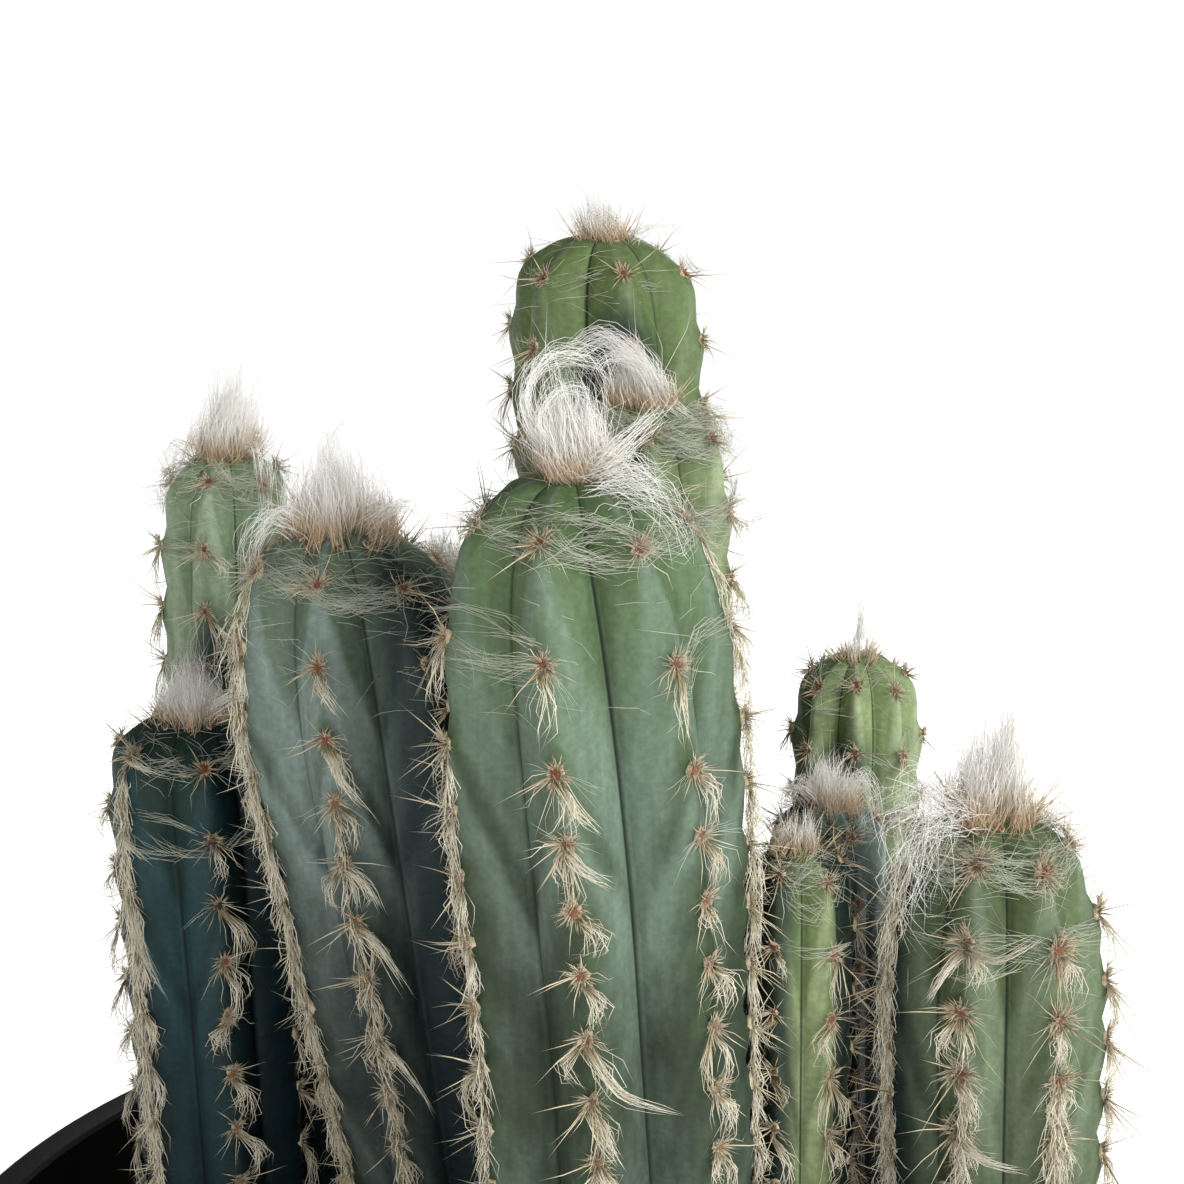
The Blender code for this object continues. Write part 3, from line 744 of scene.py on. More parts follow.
class CACTUS_OT_pot(bpy.types.Operator):
    """Turns the black nursery pot with its folded lip, foot ring and drain holes"""

    bl_idname = "cactus.pot"
    bl_label = "Pot"

    def execute(self, context):
        settings = context.scene.cactus_pot
        rim, _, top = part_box("pot")[1]
        wall, lip, lip_stand, base, foot = 2 * MM, 14 * MM, 5 * MM, 98 * MM, 4 * MM
        ring, floor = base - 14 * MM, foot + wall
        flare = (rim - lip_stand - base) / top
        inner = base + flare * top - wall

        def on_wall(height, step=0.0):
            """The radius and height of a point of the tapered wall, a step out of its outside."""
            return base + flare * height + step, height

        profile = (
            (ring, 0), (base - 1 * MM, 0), (base, 1 * MM), on_wall(100 * MM),
            on_wall(top - 34 * MM), on_wall(top - 32 * MM, 1 * MM), on_wall(top - 30 * MM, 1 * MM),
            on_wall(top - 28 * MM), on_wall(top - wall), (rim - wall, top - wall),
            (rim - wall, top - lip), (rim - 0.4 * MM, top - lip), (rim, top - lip + 0.4 * MM),
            (rim, top - 0.9 * MM), (rim - 0.35 * MM, top - 0.3 * MM), (rim - 1 * MM, top),
            (inner + 0.8 * MM, top), (inner, top - 0.8 * MM),
            on_wall(60 * MM, -wall), on_wall(floor, -wall))
        select_none()
        bpy.ops.mesh.primitive_circle_add(vertices=settings.sides, radius=ring, location=(0, 0, 0))
        pot = context.object
        pot.name = pot.data.name = "turned_pot"
        bpy.ops.object.mode_set(mode="EDIT")
        bpy.ops.mesh.select_all(action="SELECT")
        for here, there in zip(profile, profile[1:]):
            pull_ring(here, there)
        bpy.ops.mesh.edge_face_add()
        bpy.ops.mesh.select_all(action="DESELECT")
        bpy.ops.object.mode_set(mode="OBJECT")
        for edge in pot.data.edges:
            ends = [pot.data.vertices[i].co for i in edge.vertices]
            edge.select = all(
                abs(p.z) < 1e-6 and abs(math.hypot(p.x, p.y) - ring) < 1e-5 for p in ends)
        bpy.ops.object.mode_set(mode="EDIT")
        bpy.ops.mesh.select_mode(type="EDGE")
        pull_ring((ring, 0), (ring - foot, foot))
        bpy.ops.mesh.edge_face_add()
        bpy.ops.mesh.select_all(action="SELECT")
        bpy.ops.mesh.normals_make_consistent(inside=False)
        bpy.ops.object.mode_set(mode="OBJECT")
        drains, drain_radius, drain_ring = 6, 6 * MM, 62 * MM
        for i in range(drains):
            angle = TAU * i / drains
            select_none()
            bpy.ops.mesh.primitive_cylinder_add(
                vertices=32, radius=drain_radius, depth=4 * floor,
                location=(drain_ring * math.sin(angle), -drain_ring * math.cos(angle), 0))
            drill = context.object
            cut = pot.modifiers.new("drain", "BOOLEAN")
            cut.operation, cut.solver, cut.object = "DIFFERENCE", "EXACT", drill
            context.view_layer.objects.active = pot
            bpy.ops.object.modifier_apply(modifier=cut.name)
            bpy.data.objects.remove(drill)
        select_none()
        pot.select_set(True)
        context.view_layer.objects.active = pot
        bpy.ops.object.shade_smooth_by_angle(angle=math.radians(35))
        pot.data.materials.clear()
        pot.data.materials.append(moulded_polypropylene(settings.plastic))
        hand_in(pot, "pot_plastic", "pot")
        return {"FINISHED"}


def soil_height(x, y):
    """Slow and quick waves, about 30 and 16 mm long and up to 1.4 mm high in all."""
    waves = np.sin(210 * x + 1.3) * np.cos(170 * y) + 0.6 * np.sin(390 * (x - y))
    return SOIL_TOP + 0.9 * MM * waves


class CACTUS_OT_soil(bpy.types.Operator):
    """Fills the pot with soil and scatters crumbs of bark and grit over it"""

    bl_idname = "cactus.soil"
    bl_label = "Soil"

    def execute(self, context):
        rng = np.random.default_rng(SOIL_SEED)
        low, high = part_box("soil")
        radius, floor = high[0] - 0.6 * MM, low[2]
        rings, sides = 26, 96
        r = np.linspace(0, 1, rings + 1)[1:] * radius
        a = np.arange(sides) * TAU / sides
        x, y = np.outer(r, np.sin(a)), np.outer(r, -np.cos(a))
        z = soil_height(x, y) + rng.normal(0, 0.35 * MM, x.shape)
        top = np.stack((x, y, z), axis=-1).reshape(-1, 3)
        # The foot keeps about 1 mm clear of the pot's wall
        base, widening, pot_height, inset = 98 * MM, 18.5 * MM, 240 * MM, 3 * MM
        foot_radius = base + widening * floor / pot_height - inset
        foot = foot_radius * outward(a) + np.array((0, 0, floor))
        points = np.vstack((top, foot, [(0, 0, SOIL_TOP)], [(0, 0, floor)]))
        centre, bottom = len(points) - 2, len(points) - 1
        triangles = []
        for ring in range(rings):
            for i in range(sides):
                p, q = ring * sides + i, ring * sides + (i + 1) % sides
                if ring == 0:
                    triangles.append((centre, p, q))
                triangles += [(p, p + sides, q + sides), (p, q + sides, q)]
                if ring == rings - 1:
                    triangles.append((p + sides, bottom, q + sides))
        parts = [(points, np.array(triangles), {})]
        add_piece("soil_bed", parts, potting_mix(), "potting_soil", "soil")
        add_piece("bark_crumbs", bark_crumbs(rng, context.scene.cactus_soil, radius),
                  crumb_finish(), "potting_soil", smooth=False)
        return {"FINISHED"}


def bark_crumbs(rng, settings, radius):
    """One crumb is shaped from a primitive and copied, each copy turned, scaled and shaded."""
    select_none()
    bpy.ops.mesh.primitive_ico_sphere_add(subdivisions=1, radius=0.5, location=(0, 0, 0))
    shape, faces = take_shape(bpy.context.object)
    parts = []
    for _ in range(settings.crumbs):
        distance = radius * math.sqrt(rng.uniform(0, 0.97))
        angle = rng.uniform(0, TAU)
        x, y = distance * math.sin(angle), -distance * math.cos(angle)
        if any(math.hypot(x - c.foot[0], y - c.foot[1]) < c.crest_radius(0) for c in COLUMNS):
            continue
        size = settings.crumb_size * rng.uniform(0.3, 1.5) * np.array(
            (1, rng.uniform(0.4, 0.8), rng.uniform(0.2, 0.5)))
        turn = Vector(rng.normal(size=3)).normalized().to_track_quat("Z", "Y").to_matrix()
        body = shape * size * rng.uniform(0.8, 1.2, (len(shape), 1)) @ np.array(turn).T * 0.8
        body = body + (x, y, soil_height(x, y) + 0.2 * settings.crumb_size)
        parts.append((body, faces, {"shade": np.full(len(shape), rng.uniform())}))
    return parts


class CACTUS_OT_columns(bpy.types.Operator):
    """Raises the twelve ribbed columns"""

    bl_idname = "cactus.columns"
    bl_label = "Columns"

    def execute(self, context):
        for column in COLUMNS:
            raise_column(column, context.scene.cactus_skin)
        return {"FINISHED"}


def raise_column(column, settings):
    """The skin of a column, with what its material reads at each point."""
    straight = column.length - column.dome
    sunk, dome_rings = 6 * MM, 16
    steps = np.sin(np.linspace(0, 1, dome_rings + 1)[1:] * math.asin(LAST_RING_SHARE))
    heights = np.append(np.linspace(-sunk, straight, int(straight / settings.ring_spacing)),
                        straight + column.dome * steps)
    # Thicker columns have more points round each rib
    per_rib = 14 if column.radius > 17 * MM else 12 if column.radius > 14 * MM else 10
    levels, sides = len(heights), per_rib * column.ribs
    turn = np.arange(sides) * TAU / sides
    # Closer together at the crests and grooves than on the flanks
    turn = turn - 0.35 / (2 * column.ribs) * np.sin(2 * column.ribs * turn)
    height = np.repeat(heights[:, None], sides, axis=1)
    angle = turn[None] + column.crest_angle(0, height)
    radius, across = column.skin_radius(angle, height), column.groove(angle, height)
    areole_height, areole_rib, row = areoles(column)
    near, swell, chevron = (np.zeros_like(height) for _ in range(3))
    wedge_rows, areole_reach = 2.6, 3.0
    rib_of = np.round((angle - column.crest_angle(0, height)) * column.ribs / TAU) % column.ribs
    for rib in range(column.ribs):
        here, of_rib = rib_of == rib, areole_rib == rib
        # Wedges of bloom fall by a few rows of areoles from the crest to the grooves
        line = np.interp(height, areole_height[of_rib][::-1], row[of_rib][::-1])
        chevron = np.where(here, line - wedge_rows * across, chevron)
        for level in areole_height[of_rib]:
            off = (height - level) / MM
            beside = across * (radius / MM) * math.pi / column.ribs
            near = np.maximum(near, here * np.exp(-(off**2 + beside**2) / areole_reach**2))
            # The crest swells just below an areole and sinks a little above it
            chin = np.exp(-((off + 1.6) ** 2) / 9.0) - 0.8 * np.exp(-((off - 3.2) ** 2) / 5.0)
            swell += here * chin * np.exp(-((across / 0.42) ** 2))
    radius = radius + settings.bulge * swell * np.clip(radius / (14 * MM), 0.4, 1)
    # The column isn't perfectly even: it swells and narrows a little along its height
    phase = column.first_crest * 7
    radius = radius * (1 + 0.012 * np.sin(height / (9 * MM) + phase)
                       + 0.010 * np.sin(height / (23 * MM) + 2.1 * phase))
    points = np.vstack((column.point(angle, height, radius).reshape(-1, 3),
                        column.axis(heights[[0, -1]])))
    index = np.arange(levels * sides).reshape(levels, sides)
    beyond = np.roll(index, -1, axis=1)
    a, b, a2, b2 = index[:-1], index[1:], beyond[:-1], beyond[1:]
    low, high = np.full(sides, levels * sides), np.full(sides, levels * sides + 1)
    triangles = np.concatenate([np.stack(corners, axis=-1).reshape(-1, 3) for corners in (
        (a, a2, b2), (a, b2, b), (beyond[0], index[0], low), (index[-1], beyond[-1], high))])
    attributes = {
        "across": np.append(across, (0.5, 0.5)),
        "depth": np.append(column.length - height, (column.length, 0)),
        "height": np.append(height, (0, column.length)),
        "chevron": np.append(chevron, (0, 0)),
        # How open the skin is beside other columns, turned into painted shade in narrow gaps by the
        # skin material
        "free": openness(column, points, outward(np.append(angle, (0.5, 0.5))), 13 * MM),
        "near_areole": np.append(near, (0, 0)),
    }
    add_piece(column.name + "_skin", [(points, triangles, attributes)],
              waxy_skin(column.name, column.skin, column.shade), "cactus_skin", column.name)


class CACTUS_OT_spines(bpy.types.Operator):
    """Sets a pad of felt and a star of spines in every areole"""

    bl_idname = "cactus.spines"
    bl_label = "Felt and spines"

    def execute(self, context):
        settings = context.scene.cactus_spine
        horn, felt = spine_horn(), areole_felt()
        select_none()
        bpy.ops.mesh.primitive_uv_sphere_add(segments=8, ring_count=3, radius=1, location=(0, 0, 0))
        bpy.ops.object.mode_set(mode="EDIT")
        bpy.ops.mesh.quads_convert_to_tris()
        bpy.ops.object.mode_set(mode="OBJECT")
        dome = take_shape(context.object)
        for column, rng, frames, _, row in each_column(SPINE_SEED):
            age = np.clip(row / 9, 0, 1)
            fuzz = pad_fuzz(column, rng, frames, age)
            pads = felt_pads(column, rng, dome, frames, age)
            add_piece(column.name + "_felt", [pads, fuzz], felt, "wool")
            age = 0.95 * np.clip((row - 0.3) / 3, 0.3, 1) * (0.5 if column.spine > 1.3 else 1)
            stars = [
                spine_ring(column, rng, settings, frames, age, settings.outer, False),
                spine_ring(column, rng, settings, frames, age, settings.central, True),
                crown_spines(column, rng, settings),
            ]
            add_piece(column.name + "_spines", stars, horn, "cactus_skin")
        return {"FINISHED"}


def felt_pads(column, rng, dome, frames, age):
    """A cushion in each areole, and a ring of small ones round the crown wool."""
    shape, faces = dome
    root, out, side, up = frames
    # The growing point is ringed by the areoles that are still forming
    young = int(7 + 0.25 * column.radius / MM)
    turn = (np.arange(young) + rng.uniform(-0.3, 0.3, young)) * TAU / young
    spread = column.seat * rng.uniform(0.85, 1.15, young)
    height = column.length - column.crown_depth(spread)
    tip_out = unit(0.6 * outward(turn) + np.array((0, 0, 0.8)))
    tip_side = unit(np.cross((0, 0, 1), outward(turn)))
    root = np.vstack((root, column.point(turn, height, 0.96 * spread * column.radius)))
    out, side = np.vstack((out, tip_out)), np.vstack((side, tip_side))
    up = np.vstack((up, np.cross(tip_out, tip_side)))
    age = np.append(age, np.zeros(young))
    count = len(root)
    wide = rng.uniform(1.15, 1.6, count) * MM * min(1, 0.55 + column.radius / (45 * MM))
    wide *= 0.75 + 0.25 * column.puff
    wide[-young:] *= 0.45
    tall = wide * rng.uniform(1.0, 1.3, count)
    thick = 0.5 * wide * rng.uniform(0.8, 1.2, count)
    local = shape[None] * rng.uniform(0.62, 1.25, (count, len(shape), 1))
    points = (root[:, None] + side[:, None] * (local[..., :1] * wide[:, None, None])
              + up[:, None] * (local[..., 1:2] * tall[:, None, None])
              + out[:, None] * (local[..., 2:] * thick[:, None, None] + 0.2 * MM))
    triangles = faces[None] + np.arange(count)[:, None, None] * len(shape)
    return points.reshape(-1, 3), triangles.reshape(-1, 3), {
        "age": np.repeat(np.clip(age + rng.normal(0, 0.12, count), 0, 1), len(shape)),
        "inner": np.tile(np.clip(shape[:, 2], 0, 1) ** 2, count)}


def pad_fuzz(column, rng, frames, age):
    """Short hairs that stand round the rim of each cushion."""
    counts = rng.poisson(38 * column.puff**1.5 * clearness(column, frames[0], frames[1]))
    own = np.repeat(np.arange(len(counts)), counts)
    root, out, side, up = take(frames, own)
    count = len(own)
    across = round_areole(rng.uniform(0, TAU, count), side, up, 1.15)
    start = root + rng.uniform(0.3, 1.3, (count, 1)) * column.puff * MM * across + 0.6 * MM * out
    way = unit(across + rng.uniform(0.2, 1.3, (count, 1)) * out + rng.normal(0, 0.3, (count, 3)))
    length = rng.uniform(0.9, 2.3, (count, 1, 1)) * column.puff * MM
    points, triangles, values = hairs(
        start[:, None] + length * way[:, None] * shares(2),
        taper(rng, count, 0.13 * MM, (1, 0.2)), age[own])
    return points, triangles, {"age": values["age"], "inner": 0.35 * (1 - values["along"])}


def spine_ring(column, rng, settings, frames, age, typical, central):
    """Short outer spines that lie round each areole, or its long central ones."""
    counts = rng.integers(typical - 1, typical + 2, len(age))
    own = np.repeat(np.arange(len(age)), counts)
    root, out, side, up = take(frames, own)
    count, steps = len(own), 3 if central else 2
    turn = rng.uniform(0, TAU, count)
    if central:
        # Most of the long ones point to the left and down
        leaning = rng.uniform(0, 1, count) < 0.6
        turn = np.where(leaning, rng.normal(3.65, 0.55, count), turn)
    (flattest, steepest), (shortest, longest), thick = (
        ((0.45, 1.2), (1.0, 2.0), 0.9) if central else ((0.8, 1.35), (0.4, 0.9), 0.5))
    tilt = rng.uniform(flattest, steepest, (count, 1))
    length = settings.length * column.spine * rng.uniform(shortest, longest, (count, 1, 1))
    across = round_areole(turn, side, up)
    way = np.cos(tilt) * out + np.sin(tilt) * across
    start = root + 0.5 * MM * out + 0.8 * MM * across
    sway = rng.normal(0, 0.025, (count, 1, 3)) * np.sin(math.pi * shares(steps))
    return hairs(
        start[:, None] + length * (way[:, None] * shares(steps) + sway),
        taper(rng, count, 0.5 * settings.thickness * thick, np.linspace(1, 0.25, steps)),
        np.clip(age[own] + rng.normal(0, 0.1, count), 0, 1))


def crown_spines(column, rng, settings):
    """Straight young spines that stand round the growing point."""
    count = int(16 + 2.2 * column.radius / MM)
    turn = rng.uniform(0, TAU, count)
    spread = column.seat * rng.uniform(0.4, 1.4, count)
    height = column.length - column.crown_depth(spread) - 0.5 * MM
    start = column.point(turn, height, 0.9 * spread * column.radius)
    tilt = 0.15 + 1.3 * spread + rng.normal(0, 0.14, count)
    way = outward(turn) * np.sin(tilt)[:, None]
    way[:, 2] = np.cos(tilt)
    length = settings.length * column.spine * rng.uniform(0.9, 1.7, (count, 1, 1))
    thickness = 0.5 * settings.thickness * rng.uniform(0.8, 1.1, (count, 1))
    return hairs(start[:, None] + length * way[:, None] * shares(3),
                 thickness * np.array((1, 0.7, 0.2)), rng.uniform(0, 0.5, count))


# Long strands that sweep out of a plume: hairs, how far they spread, and a curve from the crown's
# middle. Lengths are in mm: to the right, up and to the front.
SWEEPS = {
    "centre_front": (
        (48, 1.1, ((-3, 3, 2), (-7, 9, 1), (-6.5, 14.5, 0), (-2.5, 18, -2), (3, 17, -4),
                   (5, 12.5, -5), (4.5, 7, -5))),
        (30, 0.7, ((-2, 3, 3), (-5, 9, 3), (-2, 13, 1), (2, 12, -2), (3, 8, -3))),
        (40, 1.1, ((3, 1, 4), (7, 5, 3), (11, 8, 1), (15, 11.5, -2))),
        (50, 1.5, ((3, 0.5, 5), (9, 3, 6), (12, 1, 8), (15, 3, 9))),
        (60, 2.4, ((3, 0, 6), (9, 0.5, 8), (14, -3, 10), (17, -10, 12)))),
    "centre_back": (
        (90, 1.3, ((3, -1, 2), (-1, 6.5, 2), (-7, 11.5, 1), (-12, 9.5, 2), (-14, 6.5, 3))),
        (50, 1.2, ((2, 0, 3), (0, 6, 3), (-6, 8, 4), (-9, 4, 6)))),
    "left_front": (
        (50, 1.3, ((-6, 1, 3), (-10, 3, 3), (-14, -2, 2), (-15.5, -10, 0))),
        (40, 1.2, ((-2, 3, 2), (-2, 10, 1), (-0.5, 16, 0), (3, 20, 0))),
        (40, 1.0, ((5, 1, 3), (9, 4, 3), (12, 4, 1), (15, 1, -1)))),
    "left_side": ((40, 1.0, ((3, 1, 2), (8, 4, 1), (12, 3, 0), (14, -2, 0))),),
    "left_back": (
        (60, 1.1, ((-3, 1, 2), (-1, 7, 2), (2.5, 12, 1), (3.5, 18, 0))),
        (40, 1.2, ((-5, 1, 2), (-9, 2, 2), (-11, -3, 2), (-11.5, -12, 2))),
        (40, 1.2, ((4, 1, 3), (7, 2, 5), (8, -4, 7), (7, -12, 8)))),
    "right_front": (
        (70, 1.0, ((-3, 2, 2), (-4.5, 7, 1), (-4.5, 13, 0), (-5, 17, 0))),
        (110, 1.1, ((1, 3, 2), (1.5, 10, 1), (2.5, 18, 0), (3.5, 24, 0))),
        (90, 2.3, ((-6, 1, 3), (-11, 5, 3), (-16, 2, 4), (-18, -6, 5))),
        (90, 2.5, ((-7, 0, 5), (-12, 0, 7), (-15, -8, 9), (-13, -17, 11))),
        (40, 1.3, ((6, 0, 4), (11, 2, 5), (14, -3, 6), (13, -10, 8)))),
    "right_back": ((70, 0.75, ((0, 3, 1), (0.2, 7, 1), (0.3, 11, 0), (0, 16, 0))),),
    "right_inner": (
        (50, 1.0, ((-2, 1, 2), (-6, 4, 2), (-8, 0, 3), (-8, -7, 3))),
        (50, 1.0, ((2, 1, 2), (5, 5, 2), (8, 1, 3), (9, -7, 3)))),
    "tall_back": ((30, 0.7, ((4, 0, 3), (9, 2, 3), (13, 2, 1), (16, -1, 0))),),
}


class CACTUS_OT_crown_wool(bpy.types.Operator):
    """Grows the plume of wool on every crown and the hairs spun round it"""

    bl_idname = "cactus.crown_wool"
    bl_label = "Crown wool"

    def execute(self, context):
        settings = context.scene.cactus_wool
        wool = plant_wool("crown_wool", "F2F1EB", "B6966A", 0.25, 0.06)
        thread = plant_wool("spun_wool", "BFC4B4", "A8A58D", 0.2, 0.0)
        for column, rng, frames, rib, row in each_column(CROWN_SEED):
            parts = [plume(column, rng, settings)]
            for strand in SWEEPS.get(column.name, ()):
                parts.append(sweep(column, rng, settings, *strand))
            add_piece(column.name + "_plume", parts, wool, "wool", column.name + "_wool")
            parts = [bridges(column, rng, settings, frames, rib, row),
                     loose(column, rng, settings, frames, row)]
            add_piece(column.name + "_web", parts, thread, "wool")
        return {"FINISHED"}


def plume(column, rng, settings):
    """Hairs in locks that rise like a flame: each lock's hairs draw together at its tip."""
    count = int(1.15 * column.tuft_hairs)
    locks = max(14, count // 22)
    seat = column.seat * column.radius
    reach = np.sqrt(rng.uniform(0, 1, locks))
    base = outward(rng.uniform(0, TAU, locks)) * (seat * reach)[:, None]
    height = column.tuft_height * (1.08 - 0.66 * reach**1.4) * rng.uniform(0.7, 1.1, locks)
    height = height[:, None]
    # A plume on a narrow seat swells like a bulb, on a wide one it closes like a flame
    swell = 0.18 if column.seat > 0.2 else 0.75
    top = base * rng.uniform(0.3, 1.3, (locks, 1)) + column.lean * height
    top = top + rng.normal(0, 0.07, (locks, 3)) * column.tuft_height
    top[:, 2:] = height
    bow = swell * base + rng.normal(0, 0.09, (locks, 3)) * height - 0.25 * column.lean * height
    own = rng.integers(0, locks, count)
    spot = rng.normal(0, 0.11 * seat + 0.35 * MM, (count, 3))
    spot[:, 2] = 0
    root = base[own] + spot
    out = np.linalg.norm(root, axis=1) / column.radius
    start = column.axis(column.length - column.crown_depth(out) - 1.0 * MM) + root
    wild = rng.uniform(0, 1, (count, 1)) < 0.16
    stray = np.where(wild, 0.3, 0.07) * rng.normal(size=(count, 3)) * height[own]
    rise = (top[own] - base[own] + stray) * rng.uniform(0.45, 1.05, (count, 1))
    share = shares(HAIR_STEPS)
    paths = (start[:, None] + rise[:, None] * share + bow[own][:, None] * np.sin(math.pi * share)
             - 0.6 * spot[:, None] * share**1.5
             + 0.06 * height[own][..., None] * waves(rng, count, HAIR_STEPS, 0.9))
    points, triangles, values = grow(rng, "plume", paths, settings, 0.4 * out * column.tan)
    # The whole plume is stained as far up as its roots' dust and resin reach
    rise = points[:, 2] - SOIL_TOP - column.length
    values["along"] = np.clip(rise / column.tuft_height, 0, 1)
    return points, triangles, values


def sweep(column, rng, settings, count, spread, curve):
    """One long strand of a plume: its hairs end one after the other along a curve."""
    fine = 40
    way = smooth_path([(x, -front, up) for x, up, front in curve], fine) * MM
    reach = rng.uniform(0.35, 1.0, (count, 1)) * np.linspace(0, 1, SWEEP_STEPS)
    start = rng.uniform(0, 0.12, (count, 1))
    middle = sample(way, (start + reach * (1 - start)) * (fine - 1))
    offset = rng.normal(0, spread * MM, (count, 1, 3)) * (1 - 0.45 * shares(SWEEP_STEPS))
    paths = column.axis(column.length) + middle + offset
    paths += 0.5 * column.puff**2 * spread * MM * waves(rng, count, SWEEP_STEPS, 1.2)
    points, triangles, values = grow(rng, "sweep", paths, settings, 0.02)
    # Only the first part of a strand is stained by its root
    values["along"] = 0.25 + 0.75 * values["along"]
    return points, triangles, values


def bridges(column, rng, settings, frames, rib, row):
    """Bundles of hairs stretched like cobweb from an areole to one of the next rib's."""
    root, out, _, up = frames
    bundle = 8
    bundles = int(settings.web_hairs * column.web / bundle)
    near = np.flatnonzero(row <= 1)
    chance = np.exp(-0.9 * row[near]) * clearness(column, root[near], out[near])
    first = rng.choice(near, bundles, p=chance / chance.sum())
    last = np.empty(bundles, dtype=int)
    for index, start in enumerate(first):
        beside = (rib[start] + rng.choice((-1, 1))) % column.ribs
        gap = np.abs(row - row[start]) + 50 * (rib != beside)
        last[index] = gap.argmin()
    ends = rng.normal(0, 1.9 * MM, (2, bundles, 3))
    sag = rng.normal(1.2, 1.8, bundles) * MM
    own = np.repeat(np.arange(bundles), bundle)
    count, share = len(own), shares(HAIR_STEPS)
    spot = rng.normal(0, 0.6 * MM, (2, count, 3))
    begin, end = (root[areole][own] + ends[k][own] + spot[k] + 0.7 * MM * out[areole][own]
                  for k, areole in enumerate((first, last)))
    over = rng.uniform(0.5, 1.15, (count, 1, 1)) * share
    fall = (sag[own] + rng.normal(0, 0.4 * MM, count))[:, None, None]
    paths = (begin[:, None] + (end - begin)[:, None] * over
             - up[first][own][:, None] * fall * np.sin(math.pi * share)
             + 0.4 * MM * waves(rng, count, HAIR_STEPS, 0.7))
    return grow(rng, "bridge", paths, settings)


def loose(column, rng, settings, frames, row):
    """Single hairs that spread from the upper areoles, mostly along the skin."""
    near = np.flatnonzero(row <= 3)
    count = int(8 * len(near) * min(column.web, 2))
    own = rng.choice(near, count)
    root, out, side, up = take(frames, own)
    across = round_areole(rng.uniform(0, TAU, count), side, up, 0.6)
    way = unit(across + rng.uniform(0.1, 0.6, (count, 1)) * out)
    length = rng.uniform(3.5, 9, count) * MM
    start = root + 0.4 * MM * out + 0.5 * MM * across
    # Half of them lie over the bare dome between the plume and the first areoles
    domed = count // 2
    around = rng.uniform(0, TAU, domed)
    spread = rng.uniform(0.4, 0.97, domed)
    level = column.length - column.crown_depth(spread)
    start[:domed] = column.point(around, level, spread * column.radius)
    way[:domed] = outward(around + rng.choice((-1, 1), domed) * rng.uniform(0.6, 2.4, domed))
    length[:domed] *= 1.3
    paths = curly(rng, start, way, length, rng.uniform(0.0, 0.5, count),
                  rng.uniform(0.02, 0.08, count))
    return grow(rng, "loose", paths, settings)


# Long locks that hang clear of their rib: rib, row, then how far the middle and the end lie to the
# right, down and out, in mm
LONG_LOCKS = {
    "left_front": (
        (0, 2, (3, 7, 3), (9, 15, 2)), (0, 1, (1, 4, 2), (4, 9, 1)), (0, 4, (3.5, 3, 2), (6, 9, 2)),
        (0, 5, (4, 4, 2), (8, 14, 2)), (0, 7, (4, 5, 2), (9, 15, 3))),
    "centre_front": (
        (0, 6, (5, 8, 3), (15, 11, 4)), (0, 2, (4, 6, 2), (8, 9, 2)), (0, 3, (3, 4, 2), (8, 6, 3)),
        (0, 7, (2, 6, 2), (5, 12, 2)), (0, 8, (2, 6, 2), (5, 12, 2))),
    "left_side": (
        (0, 2, (6, 9, 4), (18, 14, 8)), (0, 0, (6, 2, 4), (16, 3, 7)),
        (0, 1, (5, 1, 4), (15, 1, 7))),
    "right_front": (
        (0, 1, (7, 0, 6), (15, -6, 5)), (0, 1, (-3, 5, 4), (-6, 11, 3)),
        (0, 4, (6, 2, 4), (14, 2, 4)), (1, 5, (-6, 3, 4), (-14, 3, 4)),
        (0, 7, (6, 1, 4), (13, 2, 4))),
}


class CACTUS_OT_areole_wool(bpy.types.Operator):
    """Hangs curled locks from the areoles, so that wool runs down every rib"""

    bl_idname = "cactus.areole_wool"
    bl_label = "Areole wool"

    def execute(self, context):
        settings = context.scene.cactus_wool
        wool = plant_wool("areole_wool", "E4DECB", "9A8A64", 0.25, 0.02)
        for column, rng, frames, rib, row in each_column(AREOLE_SEED):
            rich = np.array([column.woolly_ribs.get(int(r), 1.0) for r in rib])
            amount = rich**0.5 * column.fleece * clearness(column, frames[0], frames[1])
            parts = [hanging(column, rng, settings, frames, row, amount),
                     single(column, rng, settings, frames, amount * rich)]
            for which, wanted in column.woolly_ribs.items():
                parts.append(rope(column, rng, settings, which, wanted))
            for which, level, *bends in LONG_LOCKS.get(column.name, ()):
                index = np.flatnonzero((rib == which) & (row == level))[0]
                parts.append(long_lock(rng, settings, take(frames, index), bends))
            add_piece(column.name + "_fleece", parts, wool, "wool")
        return {"FINISHED"}


